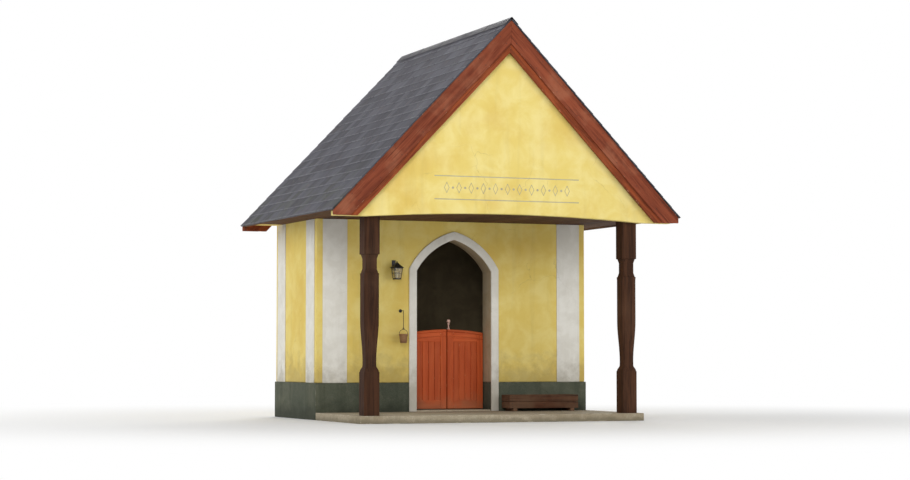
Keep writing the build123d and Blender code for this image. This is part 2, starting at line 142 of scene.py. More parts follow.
def overlay(tree, colour, over, amount, group, vector, **values):
    # a colour laid over another where a shared effect shows, as strongly as amount says
    mask = useGroup(tree, group, vector, **values)["Mask"]
    return mixOf(tree, mask if amount == 1 else times(tree, mask, amount), colour, over)


def newMaterial(name, roughness=0.8):
    material = bpy.data.materials.new(name)
    material.use_nodes = True
    shader = material.node_tree.nodes["Principled BSDF"]
    shader.inputs["Roughness"].default_value = roughness
    return material, material.node_tree, shader


def wireShader(tree, shader, colour, roughness, height, bump, depth, specular=0.5):
    feed(shader.inputs["Base Color"], colour)
    feed(shader.inputs["Roughness"], roughness)
    shader.inputs["Specular IOR Level"].default_value = specular
    relief = addNode(tree, "Bump", {"Height": height, "Strength": bump, "Distance": depth})
    feed(shader.inputs["Normal"], relief.outputs["Normal"])


# effects that several finishes share

def patchesIn(tree, given):
    cloud = noiseOf(tree, given["Vector"], given["Scale"], 5.0)
    return {"Mask": remap(tree, cloud, given["Low"], given["High"])}


def trowellingIn(tree, given):
    cloud = noiseOf(tree, given["Vector"], times(tree, given["Scale"], 3.2), 6.0, 0.6, 0.4)
    sand = noiseOf(tree, given["Vector"], times(tree, given["Scale"], 95.0), 3.0)
    return {"Cloud": cloud, "Height": mathOf(tree, "ADD", times(tree, cloud, 0.8), times(tree, sand, 0.2))}


def runsIn(tree, given):
    streaks = noiseOf(tree, stretch(tree, given["Vector"], (7.0, 7.0, 0.5)), 1.0, 6.0, 0.6)
    return {"Mask": remap(tree, streaks, given["Low"], given["High"])}


def splashIn(tree, given):
    height = addNode(tree, "SeparateXYZ", {0: given["Vector"]}).outputs["Z"]
    ragged = mathOf(tree, "SUBTRACT", noiseOf(tree, given["Vector"], 5.0, 6.0, 0.65), 0.5)
    level = mathOf(tree, "ADD", height, times(tree, times(tree, ragged, given["Reach"]), 2.2))
    low = mathOf(tree, "SUBTRACT", given["Top"], given["Reach"])
    return {"Mask": remap(tree, level, low, given["Top"], 1.0, 0.0)}


def wearIn(tree, given):
    chips = noiseOf(tree, given["Vector"], given["Scale"], 5.0, 0.65)
    limit = mathOf(tree, "SUBTRACT", 0.8, times(tree, given["Amount"], 0.5))
    return {"Mask": times(tree, given["Edge"], remap(tree, chips, limit, mathOf(tree, "ADD", limit, 0.12)))}


def grainIn(tree, given):
    scaled = addNode(tree, "VectorMath", {0: given["Vector"], "Scale": given["Scale"]}, operation="SCALE")
    along = scaled.outputs["Vector"]
    wide = noiseOf(tree, stretch(tree, along, (1.1, 17.0, 17.0)), 1.0, 5.0, 0.55, 0.8)
    fibre = noiseOf(tree, stretch(tree, along, (7.0, 190.0, 190.0)), 1.0, 3.0)
    checks = remap(tree, noiseOf(tree, stretch(tree, along, (1.3, 62.0, 62.0)), 1.0, 3.0, 0.6), 0.6, 0.7)
    relief = mathOf(tree, "ADD", times(tree, wide, 0.45), times(tree, fibre, 0.35))
    height = mathOf(tree, "SUBTRACT", relief, times(tree, checks, 0.6))
    return {"Grain": wide, "Fibre": fibre, "Checks": checks, "Height": height}


def gritIn(tree, given):
    speckle = noiseOf(tree, given["Vector"], given["Scale"], 6.0, 0.7)
    cells = addNode(tree, "TexVoronoi", {"Vector": given["Vector"], "Scale": times(tree, given["Scale"], 0.7)})
    pits = times(tree, cells.outputs["Distance"], 0.5)
    return {"Speckle": speckle, "Height": mathOf(tree, "ADD", speckle, pits)}


def cracksIn(tree, given):
    wander = stretch(tree, noiseOf(tree, given["Vector"], 2.4, 8.0, 0.5, output="Color"), (0.45, 0.45, 0.45))
    bent = addNode(tree, "VectorMath", {0: given["Vector"], 1: wander}, operation="ADD").outputs["Vector"]
    cells = addNode(tree, "TexVoronoi", {"Vector": bent, "Scale": given["Scale"]}, feature="DISTANCE_TO_EDGE")
    line = remap(tree, cells.outputs["Distance"], 0.0, given["Width"], 1.0, 0.0)
    return {"Mask": times(tree, line, remap(tree, noiseOf(tree, given["Vector"], 1.3), 0.5, 0.62))}


softPatches = newGroup("softPatches", {"Scale": 2.0, "Low": 0.4, "High": 0.65}, patchesIn)
trowelMarks = newGroup("trowelMarks", {"Scale": 1.0}, trowellingIn)
rainRuns = newGroup("rainRuns", {"Low": 0.5, "High": 0.72}, runsIn)
groundSplash = newGroup("groundSplash", {"Top": 0.5, "Reach": 0.3}, splashIn)
edgeWear = newGroup("edgeWear", {"Edge": 0.0, "Scale": 14.0, "Amount": 0.5}, wearIn)
timberGrain = newGroup("timberGrain", {"Scale": 1.0}, grainIn)
stoneGrit = newGroup("stoneGrit", {"Scale": 60.0}, gritIn)
hairCracks = newGroup("hairCracks", {"Scale": 1.2, "Width": 0.012}, cracksIn)
print("shared effects built")


# finishes

def plasterFinish(name, look):
    material, tree, shader = newMaterial(name)
    look, place, edge = shaderLook(look), placeOf(tree), meshValue(tree, "edge")
    marks = useGroup(tree, trowelMarks, place, Scale=look["trowelScale"])
    colour = mixOf(tree, remap(tree, marks["Cloud"], 0.35, 0.68), look["body"], look["pale"])
    colour = overlay(tree, colour, look["deep"], look["patchAmount"], softPatches, place,
                     Scale=1.1, Low=0.46, High=0.74)
    colour = overlay(tree, colour, look["dirt"], look["runAmount"], rainRuns, place, Low=0.5, High=0.8)
    colour = overlay(tree, colour, look["dirt"], look["splashAmount"], groundSplash, place,
                     Top=look["splashTop"], Reach=look["splashReach"])
    colour = overlay(tree, colour, look["chip"], 0.5, edgeWear, place, Edge=edge, Scale=9.0, Amount=0.45)
    cracks = times(tree, useGroup(tree, hairCracks, place, Scale=1.1, Width=0.006)["Mask"], look["crackAmount"])
    colour = mixOf(tree, cracks, colour, look["dirt"])
    roughness = remap(tree, marks["Cloud"], 0.3, 0.7, look["roughness"] - 0.06, look["roughness"] + 0.05)
    height = mathOf(tree, "SUBTRACT", marks["Height"], cracks)
    wireShader(tree, shader, colour, roughness, height, look["bump"], 0.006, 0.25)
    return material


wallLook = {
    "body": (228, 202, 108), "pale": (236, 216, 134), "deep": (216, 180, 82), "dirt": (146, 122, 74),
    "chip": (206, 192, 160), "trowelScale": 1.0, "patchAmount": 0.6, "runAmount": 0.16, "splashTop": 0.95,
    "splashReach": 0.42, "splashAmount": 0.4, "roughness": 0.86, "bump": 0.35, "crackAmount": 0.28,
}
gableLook = dict(wallLook, body=(231, 208, 118), pale=(239, 222, 146), splashAmount=0.0, runAmount=0.13)
whiteLook = {
    "body": (224, 221, 211), "pale": (236, 234, 226), "deep": (208, 203, 190), "dirt": (150, 141, 121),
    "chip": (190, 176, 150), "trowelScale": 1.4, "patchAmount": 0.5, "runAmount": 0.14, "splashTop": 0.85,
    "splashReach": 0.5, "splashAmount": 0.5, "roughness": 0.82, "bump": 0.3, "crackAmount": 0.22,
}
# the doorway reveal: white plaster painted brownish grey as the shade in the recess
revealShadeLook = dict(whiteLook, body=(176, 158, 128), pale=(190, 174, 146), deep=(156, 136, 104))
# the room inside: plaster painted dark brown as the shade of the closed interior
roomShadeLook = dict(whiteLook, body=(96, 84, 62), pale=(112, 99, 74), deep=(74, 63, 46), dirt=(52, 44, 34))
lineLook = dict(whiteLook, body=(176, 166, 138), pale=(190, 182, 152), deep=(160, 146, 112), splashAmount=0.0)
wallPlaster = plasterFinish("wallPlaster", wallLook)
gablePlaster = plasterFinish("gablePlaster", gableLook)
whitePlaster = plasterFinish("whitePlaster", whiteLook)
revealShadePlaster = plasterFinish("revealShadePlaster", revealShadeLook)
roomShadePlaster = plasterFinish("roomShadePlaster", roomShadeLook)
greyLines = plasterFinish("greyLines", lineLook)


def masonryFinish(name, look):
    material, tree, shader = newMaterial(name)
    look, place, edge = shaderLook(look), placeOf(tree), meshValue(tree, "edge")
    grit = useGroup(tree, stoneGrit, place, Scale=look["gritScale"])
    colour = mixOf(tree, remap(tree, grit["Speckle"], 0.34, 0.66), look["dark"], look["light"])
    colour = overlay(tree, colour, look["patch"], 0.6, softPatches, place,
                     Scale=look["patchScale"], Low=0.42, High=0.7)
    colour = overlay(tree, colour, look["damp"], look["runAmount"], rainRuns, place, Low=0.45, High=0.7)
    colour = overlay(tree, colour, look["wornEdge"], look["blotchAmount"], softPatches, place,
                     Scale=look["patchScale"] * 9, Low=0.5, High=0.66)
    colour = overlay(tree, colour, look["damp"], look["dampAmount"], groundSplash, place,
                     Top=look["dampTop"], Reach=look["dampReach"])
    colour = overlay(tree, colour, look["wornEdge"], 0.6, edgeWear, place, Edge=edge, Scale=7.0, Amount=0.6)
    cracks = times(tree, useGroup(tree, hairCracks, place, Scale=1.4, Width=0.01)["Mask"], look["crackAmount"])
    colour = mixOf(tree, cracks, colour, look["damp"])
    roughness = remap(tree, grit["Speckle"], 0.3, 0.7, 0.78, 0.95)
    height = mathOf(tree, "SUBTRACT", grit["Height"], cracks)
    wireShader(tree, shader, colour, roughness, height, look["bump"], look["relief"], 0.3)
    return material


plinthLook = {
    "dark": (66, 71, 58), "light": (90, 95, 80), "patch": (98, 100, 82), "damp": (48, 52, 40),
    "wornEdge": (132, 130, 114), "gritScale": 110.0, "patchScale": 1.3, "dampTop": 0.3, "dampReach": 0.26,
    "dampAmount": 0.7, "runAmount": 0.5, "blotchAmount": 0.1, "bump": 0.8, "relief": 0.009, "crackAmount": 0.3,
}
screedLook = {
    "dark": (150, 138, 116), "light": (182, 170, 147), "patch": (136, 122, 98), "damp": (104, 98, 78),
    "wornEdge": (202, 193, 172), "gritScale": 90.0, "patchScale": 1.4, "dampTop": 0.075, "dampReach": 0.06,
    "dampAmount": 0.6, "runAmount": 0.12, "blotchAmount": 0.16, "bump": 0.45, "relief": 0.004, "crackAmount": 0.5,
}
clayLook = {
    "dark": (128, 92, 62), "light": (158, 120, 84), "patch": (146, 124, 96), "damp": (96, 66, 46),
    "wornEdge": (186, 156, 122), "gritScale": 160.0, "patchScale": 14.0, "dampTop": 1.085, "dampReach": 0.05,
    "dampAmount": 0.5, "runAmount": 0.12, "blotchAmount": 0.16, "bump": 0.25, "relief": 0.002, "crackAmount": 0.0,
}
plinthRender = masonryFinish("plinthRender", plinthLook)
wornScreed = masonryFinish("wornScreed", screedLook)
firedClay = masonryFinish("firedClay", clayLook)


def timberFinish(name, look):
    # colour, grain and checks run along each board, from the mesh's own grainSpace
    material, tree, shader = newMaterial(name)
    look, place, edge = shaderLook(look), placeOf(tree), meshValue(tree, "edge")
    along = meshValue(tree, "grainSpace", "Vector")
    grain = useGroup(tree, timberGrain, along, Scale=look["grainScale"])
    colour = mixOf(tree, remap(tree, grain["Grain"], 0.32, 0.68), look["dark"], look["light"])
    colour = mixOf(tree, remap(tree, grain["Fibre"], 0.45, 0.75, 0.0, 0.45), colour, look["fibre"])
    colour = overlay(tree, colour, look["weathered"], look["weatherAmount"], softPatches, place,
                     Scale=look["weatherScale"], Low=0.45, High=0.7)
    tone = remap(tree, meshValue(tree, "tone"), 0.0, 1.0, 1 - look["toneSpread"], 1 + look["toneSpread"])
    colour = brighten(tree, colour, tone)
    colour = overlay(tree, colour, look["wornEdge"], 1, edgeWear, along,
                     Edge=edge, Scale=16.0, Amount=look["edgeAmount"])
    colour = mixOf(tree, times(tree, grain["Checks"], 0.65), colour, look["check"])
    roughness = remap(tree, grain["Fibre"], 0.3, 0.7, look["roughness"] - 0.08, look["roughness"] + 0.1)
    wireShader(tree, shader, colour, roughness, grain["Height"], look["bump"], 0.003, look["gloss"])
    return material


darkLook = {
    "dark": (48, 29, 19), "light": (76, 48, 32), "fibre": (90, 60, 42), "weathered": (92, 67, 50),
    "wornEdge": (112, 82, 60), "check": (24, 15, 11), "grainScale": 1.0, "weatherScale": 1.6, "weatherAmount": 0.35,
    "toneSpread": 0.16, "edgeAmount": 0.3, "roughness": 0.76, "bump": 0.5, "gloss": 0.12,
}
boardLook = dict(darkLook, dark=(72, 48, 32), light=(102, 72, 48), fibre=(116, 84, 58), weathered=(88, 66, 50),
                 weatherAmount=0.25)
troughLook = dict(darkLook, dark=(66, 38, 26), light=(98, 61, 42), weathered=(124, 98, 76), weatherAmount=0.6)
redLook = {
    "dark": (106, 48, 31), "light": (146, 74, 49), "fibre": (164, 94, 66), "weathered": (170, 110, 82),
    "wornEdge": (190, 142, 114), "check": (52, 25, 18), "grainScale": 0.9, "weatherScale": 3.2, "weatherAmount": 0.5,
    "toneSpread": 0.14, "edgeAmount": 0.5, "roughness": 0.74, "bump": 0.55, "gloss": 0.14,
}
# the trim behind the bargeboards: its own orange-brown, darkened as painted shade from the bargeboards over it
trimColourAndShadeLook = dict(redLook, dark=(98, 44, 24), light=(142, 68, 35), weathered=(160, 88, 50), weatherAmount=0.3)
darkTimber = timberFinish("darkTimber", darkLook)
brownBoards = timberFinish("brownBoards", boardLook)
redTimber = timberFinish("redTimber", redLook)
trimTimberAndShade = timberFinish("trimTimberAndShade", trimColourAndShadeLook)
troughTimber = timberFinish("troughTimber", troughLook)


def paintFinish(name, look):
    # brushed paint over timber, thin at the edges and dusty near the ground
    material, tree, shader = newMaterial(name)
    look, place, edge = shaderLook(look), placeOf(tree), meshValue(tree, "edge")
    along = meshValue(tree, "grainSpace", "Vector")
    grain = useGroup(tree, timberGrain, along, Scale=0.8)
    colour = mixOf(tree, remap(tree, grain["Grain"], 0.3, 0.7), look["dark"], look["light"])
    colour = brighten(tree, colour, remap(tree, meshValue(tree, "tone"), 0.0, 1.0, 0.92, 1.07))
    colour = overlay(tree, colour, look["faded"], 0.4, softPatches, place, Scale=2.2, Low=0.45, High=0.72)
    colour = overlay(tree, colour, look["dust"], 0.45, groundSplash, place, Top=0.34, Reach=0.2)
    colour = overlay(tree, colour, look["bare"], 1, edgeWear, along,
                     Edge=edge, Scale=22.0, Amount=look["edgeAmount"])
    roughness = remap(tree, grain["Fibre"], 0.3, 0.7, 0.5, 0.66)
    wireShader(tree, shader, colour, roughness, grain["Height"], 0.22, 0.002, 0.2)
    return material


gateLook = {
    "dark": (174, 72, 32), "light": (194, 88, 42), "faded": (202, 106, 62), "dust": (146, 104, 72),
    "bare": (208, 148, 110), "edgeAmount": 0.45,
}
finialLook = dict(gateLook, dark=(190, 146, 130), light=(212, 178, 164), faded=(222, 208, 198), bare=(232, 226, 218))
gatePaint = paintFinish("gatePaint", gateLook)
finialPaint = paintFinish("finialPaint", finialLook)


def slateFinish(name, look):
    material, tree, shader = newMaterial(name)
    look, place, edge = shaderLook(look), placeOf(tree), meshValue(tree, "edge")
    along = meshValue(tree, "grainSpace", "Vector")
    cleave = noiseOf(tree, stretch(tree, along, (5.0, 26.0, 26.0)), 1.0, 6.0, 0.6, 0.5)
    colour = mixOf(tree, remap(tree, meshValue(tree, "tone"), 0.15, 0.85), look["dark"], look["light"])
    colour = mixOf(tree, remap(tree, cleave, 0.4, 0.7, 0.0, 0.5), colour, look["dusty"])
    colour = overlay(tree, colour, look["brown"], 0.35, softPatches, along, Scale=4.0, Low=0.56, High=0.72)
    lichen = useGroup(tree, softPatches, place, Scale=26.0, Low=0.62, High=0.69)["Mask"]
    grown = useGroup(tree, softPatches, place, Scale=1.3, Low=0.45, High=0.66)["Mask"]
    colour = mixOf(tree, times(tree, times(tree, lichen, grown), 0.7), colour, look["lichen"])
    damp = useGroup(tree, groundSplash, place, Top=3.6, Reach=0.8)["Mask"]
    moss = times(tree, damp, useGroup(tree, softPatches, place, Scale=3.4, Low=0.42, High=0.66)["Mask"])
    colour = mixOf(tree, times(tree, moss, look["mossAmount"]), colour, look["moss"])
    washed = noiseOf(tree, stretch(tree, place, (0.35, 4.0, 0.35)), 1.0, 5.0, 0.6)
    colour = brighten(tree, colour, remap(tree, washed, 0.35, 0.65, 0.84, 1.12))
    colour = overlay(tree, colour, look["wornEdge"], 0.8, edgeWear, along, Edge=edge, Scale=18.0, Amount=0.9)
    wireShader(tree, shader, colour, remap(tree, cleave, 0.3, 0.7, 0.62, 0.84), cleave, 0.5, 0.003, 0.18)
    return material


slateLook = {
    "dark": (62, 61, 69), "light": (86, 86, 95), "dusty": (106, 105, 110), "brown": (92, 80, 73),
    "lichen": (146, 146, 122), "wornEdge": (128, 128, 134), "moss": (72, 76, 56), "mossAmount": 0.45,
}
roofSlate = slateFinish("roofSlate", slateLook)


def metalFinish(name, look):
    material, tree, shader = newMaterial(name)
    look, place, edge = shaderLook(look), placeOf(tree), meshValue(tree, "edge")
    film = useGroup(tree, softPatches, place, Scale=look["patchScale"], Low=0.4, High=0.68)["Mask"]
    colour = mixOf(tree, film, look["dark"], look["light"])
    rust = useGroup(tree, softPatches, place, Scale=look["patchScale"] * 3, Low=0.58, High=0.7)["Mask"]
    rust = times(tree, rust, look["rustAmount"])
    colour = mixOf(tree, rust, colour, look["rust"])
    colour = overlay(tree, colour, look["wornEdge"], 0.6, edgeWear, place, Edge=edge, Scale=40.0, Amount=0.6)
    grit = useGroup(tree, stoneGrit, place, Scale=look["patchScale"] * 12)
    roughness = remap(tree, film, 0.0, 1.0, look["roughness"] - 0.08, look["roughness"] + 0.12)
    wireShader(tree, shader, colour, roughness, grit["Height"], look["bump"], 0.0015)
    feed(shader.inputs["Metallic"], times(tree, mathOf(tree, "SUBTRACT", 1.0, rust), look["metal"]))
    return material


ironLook = {
    "dark": (26, 25, 25), "light": (44, 42, 41), "rust": (92, 56, 38), "wornEdge": (96, 94, 92),
    "patchScale": 9.0, "rustAmount": 0.35, "metal": 0.35, "roughness": 0.5, "bump": 0.3,
}
ridgeLook = {
    "dark": (58, 57, 62), "light": (78, 77, 82), "rust": (92, 74, 62), "wornEdge": (120, 120, 124),
    "patchScale": 2.0, "rustAmount": 0.25, "metal": 0.15, "roughness": 0.66, "bump": 0.15,
}
blackIron = metalFinish("blackIron", ironLook)
ridgeSheet = metalFinish("ridgeSheet", ridgeLook)


def glassFinish(name, look):
    material, tree, shader = newMaterial(name, look["roughness"])
    look = shaderLook(look)
    shader.inputs["Transmission Weight"].default_value = look["clear"]
    shader.inputs["IOR"].default_value = 1.46
    dust = useGroup(tree, softPatches, placeOf(tree), Scale=24.0, Low=0.4, High=0.75)["Mask"]
    feed(shader.inputs["Base Color"], mixOf(tree, dust, look["glass"], look["dust"]))
    feed(shader.inputs["Roughness"], remap(tree, dust, 0.0, 1.0, look["roughness"], look["roughness"] + 0.25))
    return material


paneLook = {"glass": (244, 238, 214), "dust": (220, 210, 178), "roughness": 0.06, "clear": 0.9}
bulbLook = {"glass": (244, 240, 228), "dust": (232, 224, 204), "roughness": 0.3, "clear": 0.3}
paneGlass = glassFinish("paneGlass", paneLook)
lampGlass = glassFinish("lampGlass", bulbLook)
print("finishes built:", len(bpy.data.materials))


# mesh helpers

def newMesh(source=None):
    # grainSpace runs along the grain, tone varies from board to board, edge marks softened edges
    bm = bmesh.new()
    if source:
        bm.from_mesh(source)
    bm.verts.layers.float_vector.new("grainSpace")
    bm.verts.layers.float.new("tone")
    bm.loops.layers.float.new("edge")
    return bm


def markGrain(bm, verts, directions, tone=None):
    grain = bm.verts.layers.float_vector["grainSpace"]
    shade = bm.verts.layers.float["tone"]
    units = [Vector(direction).normalized() for direction in directions]
    shift = Vector((random.uniform(0, 9), random.uniform(0, 9), random.uniform(0, 9)))
    value = random.random() if tone is None else tone
    for vert in verts:
        vert[grain] = Vector([vert.co.dot(unit) for unit in units]) + shift
        vert[shade] = value


def markEdge(bm, faces):
    edge = bm.loops.layers.float["edge"]
    for face in faces:
        for loop in face.loops:
            loop[edge] = 1.0


def sharpEdges(bm):
    return [edge for edge in bm.edges if edge.calc_face_angle(0) > 0.45]


def softenEdges(bm, edges, width, segments=1):
    made = bmesh.ops.bevel(bm, geom=list(edges), offset=width, segments=segments, profile=0.5, affect="EDGES",
                           clamp_overlap=True)
    markEdge(bm, made["faces"])
    return made["verts"]


def addPlank(bm, corner, along, across, out, soft=0.003, tone=None):
    # one plank from its corner and its three full sides
    corner, along, across, out = Vector(corner), Vector(along), Vector(across), Vector(out)
    steps = [(i, j, k) for i in (0, 1) for j in (0, 1) for k in (0, 1)]
    verts = [bm.verts.new(corner + along * i + across * j + out * k) for i, j, k in steps]
    rings = ((0, 1, 3, 2), (4, 6, 7, 5), (0, 4, 5, 1), (2, 3, 7, 6), (0, 2, 6, 4), (1, 5, 7, 3))
    faces = [bm.faces.new([verts[i] for i in ring]) for ring in rings]
    edges = {edge for face in faces for edge in face.edges}
    markGrain(bm, softenEdges(bm, edges, soft), (along, across, out), tone)


def addBoard(bm, corner, size, order, soft=0.003, tone=None):
    # a plank square to the axes; order names those of its length, width and thickness
    sides = [[size[i] if "xyz"[i] == letter else 0 for i in range(3)] for letter in order]
    addPlank(bm, corner, *sides, soft, tone)


def addDeck(bm, low, high, width, gap, order, soft=0.003):
    # boards side by side that fill a box
    low, high = Vector(low), Vector(high)
    other = "xy".index(order[1])
    count = max(1, round((high[other] - low[other]) / width))
    pitch = (high[other] - low[other]) / count
    size = high - low
    size[other] = pitch - gap
    for i in range(count):
        corner = low.copy()
        corner[other] += i * pitch + gap / 2
        addBoard(bm, corner, size, order, soft)


def addStrip(bm, xs, lowZ, highZ, front, back, soft, directions=alongX):
    # an upright member between two lines over x, such as a cambered rail
    outline = [(x, lowZ(x)) for x in xs] + [(x, highZ(x)) for x in reversed(xs)]
    near, far = [[bm.verts.new((x, y, z)) for x, z in outline] for y in (front, back)]
    made = [bm.faces.new(near), bm.faces.new(far[::-1])]
    for i in range(len(near)):
        after = (i + 1) % len(near)
        made.append(bm.faces.new((near[i], far[i], far[after], near[after])))
    bmesh.ops.recalc_face_normals(bm, faces=made)
    edges = {edge for face in made for edge in face.edges if edge.calc_face_angle(0) > 0.5}
    softened = softenEdges(bm, edges, soft)
    markGrain(bm, {vert for vert in near + far if vert.is_valid} | set(softened), directions)


def ringAngles(count):
    return [2 * math.pi * k / count for k in range(count)]


def bridgeRings(bm, rings, closed=False):
    # faces between equal rings, and over both ends unless the row closes on itself
    sides = len(rings[0])
    made = []
    for lower, upper in zip(rings, rings[1:] + (rings[:1] if closed else [])):
        for k in range(sides):
            made.append(bm.faces.new((lower[k], lower[(k + 1) % sides], upper[(k + 1) % sides], upper[k])))
    if not closed:
        bm.faces.new(rings[0][::-1])
        bm.faces.new(rings[-1])
    return made


def addTurned(bm, place, profile, sides=24, axis=(0, 0, 1)):
    # a turned shape from (radius, height) steps
    turn = Vector((0, 0, 1)).rotation_difference(Vector(axis)).to_matrix()
    rings = []
    for radius, height in profile:
        angles = ringAngles(sides) if radius else [0.0]
        steps = [Vector((radius * math.cos(a), radius * math.sin(a), height)) for a in angles]
        rings.append([bm.verts.new(Vector(place) + turn @ step) for step in steps])
    for lower, upper in zip(rings, rings[1:]):
        for k in range(sides):
            ends = (lower, k), (lower, k + 1), (upper, k + 1), (upper, k)
            corners = dict.fromkeys(ring[i % len(ring)] for ring, i in ends)
            if len(corners) > 2:
                bm.faces.new(list(corners))
    markGrain(bm, [vert for ring in rings for vert in ring], (axis, (1, 0, 0.3), (0, 1, 0.3)), 0.5)


def addRod(bm, points, radius, sides=10, closed=False):
    # a round bar along a line of points, or a closed ring of it
    points = [Vector(point) for point in points]
    last = len(points) - 1
    rings, side = [], None
    for i, point in enumerate(points):
        if closed:
            before, after = points[i - 1], points[(i + 1) % len(points)]
        else:
            before, after = points[max(i - 1, 0)], points[min(i + 1, last)]
        ahead = (after - before).normalized()
        side = ahead.orthogonal() if side is None else side - ahead * side.dot(ahead)
        side.normalize()
        other = ahead.cross(side)
        around = [side * math.cos(a) + other * math.sin(a) for a in ringAngles(sides)]
        rings.append([bm.verts.new(point + way * radius) for way in around])
    bridgeRings(bm, rings, closed)
    markGrain(bm, [vert for ring in rings for vert in ring], upright, 0.5)


def addStud(bm, place, facing, radius):
    # a domed nail head
    dome = ((0, 0), (1, 0), (0.96, 0.25), (0.6, 0.5), (0, 0.6))
    addTurned(bm, place, [(radius * out, radius * up) for out, up in dome], 8, facing)


def addObject(name, data):
    made = bpy.data.objects.new(name, data)
    bpy.context.scene.collection.objects.link(made)
    return made


def addMeshObject(name, bm):
    mesh = bpy.data.meshes.new(name)
    bm.to_mesh(mesh)
    bm.free()
    return addObject(name, mesh)


def finishPiece(name, bm, materials, replaced=(), smoothAngle=35, body="chapel"):
    bmesh.ops.recalc_face_normals(bm, faces=bm.faces)
    piece = addMeshObject(name, bm)
    for material in materials:
        piece.data.materials.append(material)
    piece.data.shade_smooth()
    piece.data.set_sharp_from_angle(angle=math.radians(smoothAngle))
    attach(piece, body)
    if replaced:
        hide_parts(*replaced)
    return piece


def copyNodes(names):
    # CAD nodes that meet face to face, as one closed mesh with large flat faces
    solids = []
    for name in names:
        bm = bmesh.new()
        bm.from_mesh(cadNodes[name].data)
        bmesh.ops.remove_doubles(bm, verts=bm.verts, dist=1e-5)
        solids.append(addMeshObject("solid", bm))
    for other in solids[1:]:
        join = solids[0].modifiers.new("join", "BOOLEAN")
        join.operation, join.solver, join.object = "UNION", "EXACT", other
    depsgraph = bpy.context.evaluated_depsgraph_get()
    joined = bpy.data.meshes.new_from_object(solids[0].evaluated_get(depsgraph), depsgraph=depsgraph)
    bm = newMesh(joined)
    for mesh in [solid.data for solid in solids] + [joined]:
        bpy.data.meshes.remove(mesh)  # takes the object that shows it along
    for face in bm.faces:
        face.material_index = 0
    bmesh.ops.remove_doubles(bm, verts=bm.verts, dist=1e-5)
    bmesh.ops.dissolve_limit(bm, angle_limit=math.radians(1), verts=bm.verts, edges=bm.edges)
    return bm


def dressNodes(name, nodes, material, soft, directions=upright, segments=2):
    # CAD nodes whose shape is right, with softened edges and a grain direction
    bm = copyNodes(nodes)
    softenEdges(bm, sharpEdges(bm), soft, segments)
    markGrain(bm, bm.verts, directions)
    return finishPiece(name, bm, [material], nodes)


def lookFrom(place, target):
    ahead = Vector(target) - Vector(place)
    return Matrix.Translation(place) @ ahead.to_track_quat("-Z", "Y").to_matrix().to_4x4()


# camera at the photograph's viewing angle, with a longer lens so that the chapel fills the frame

viewpoint = {
    "azimuth": 23.555, "distance": 28.383, "eyeHeight": 0.866, "aim": (0.02, 0.0, 2.47), "lens": 86.0, "clipEnd": 400,
}
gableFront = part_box("front_gable")[0].y
turn = math.radians(viewpoint["azimuth"])
back = math.cos(turn) * viewpoint["distance"]
station = Vector((-math.sin(turn) * viewpoint["distance"], gableFront - back, viewpoint["eyeHeight"]))
camera = addObject("camera", bpy.data.cameras.new("camera"))
camera.data.lens = viewpoint["lens"]
camera.data.clip_end = viewpoint["clipEnd"]
camera.matrix_world = lookFrom(station, viewpoint["aim"])
bpy.context.scene.camera = camera


# plastered walls, with the room and the reveal of the doorway in darker plaster that is painted shade

plaster = {
    "wallRound": 0.012, "gableSoft": 0.008, "bandSoft": 0.004, "surroundSoft": 0.006, "revealTop": 2.5,
    "revealMargin": 0.002, "roomMargin": 0.005,
}
wallNodes = ["front_wall_gable", "front_wall_left", "front_wall_right", "left_wall", "right_wall", "back_wall"]
roomLow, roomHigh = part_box("room_floor")
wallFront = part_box("front_wall_left")[0].y
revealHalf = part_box("door_sill")[1].x + plaster["wallRound"] + plaster["revealMargin"]
roomFront, roomBack = roomLow.y - plaster["roomMargin"], roomHigh.y + plaster["roomMargin"]


def inRoom(point):
    return abs(point.x) < roomHigh.x + plaster["roomMargin"] and roomFront < point.y < roomBack


def inReveal(face):
    if face.calc_center_median().y >= roomFront:
        return False
    return all(abs(vert.co.x) < revealHalf and vert.co.z < plaster["revealTop"] for vert in face.verts)


walls = copyNodes(wallNodes)
softenEdges(walls, sharpEdges(walls), plaster["wallRound"], 3)
markGrain(walls, walls.verts, upright, 0.5)
# faces inside the room and in the doorway reveal take plaster painted darker as shade
for face in walls.faces:
    if inRoom(face.calc_center_median()):
        face.material_index = 2
    elif inReveal(face):
        face.material_index = 1
finishPiece("wallPlasterSkin", walls, [wallPlaster, revealShadePlaster, roomShadePlaster], wallNodes)
dressNodes("gablePlasterPanel", ["front_gable"], gablePlaster, plaster["gableSoft"])
for place in ("front", "back", "left", "right"):
    bands = ["corner_bands_" + place]
    dressNodes("cornerBands_" + place, bands, whitePlaster, plaster["bandSoft"])
surround = ["door_surround"]
dressNodes("doorSurround", surround, whitePlaster, plaster["surroundSoft"], segments=3)
print("walls plastered")


# two thin painted lines on the gable with a plain row of lozenges and dots between them

gablePaint = {
    "halfLength": 1.03, "lineHeights": (2.884, 3.186), "lineWidth": 0.013, "proud": 0.0008, "sunk": 0.002,
    "soft": 0.0003, "lozenges": 11, "lozengeWidth": 0.075, "lozengeHeight": 0.15, "lozengeLine": 0.009,
    "dot": 0.016, "dotSunk": 0.001,
}
paintFace = gableFront - gablePaint["proud"]
paintDepth = gablePaint["proud"] + gablePaint["sunk"]


def addLozenge(bm, centre):
    # a lozenge drawn as a thin painted line
    halfWidth, halfHeight = gablePaint["lozengeWidth"] / 2, gablePaint["lozengeHeight"] / 2
    tips = [Vector((x, 0, z)) for x, z in ((halfWidth, 0), (0, halfHeight), (-halfWidth, 0), (0, -halfHeight))]
    for start, end in zip(tips, tips[1:] + tips[:1]):
        inward = -(start + end).normalized() * gablePaint["lozengeLine"]
        addPlank(bm, Vector(centre) + start, end - start, inward, (0, paintDepth, 0), gablePaint["soft"], 0.5)


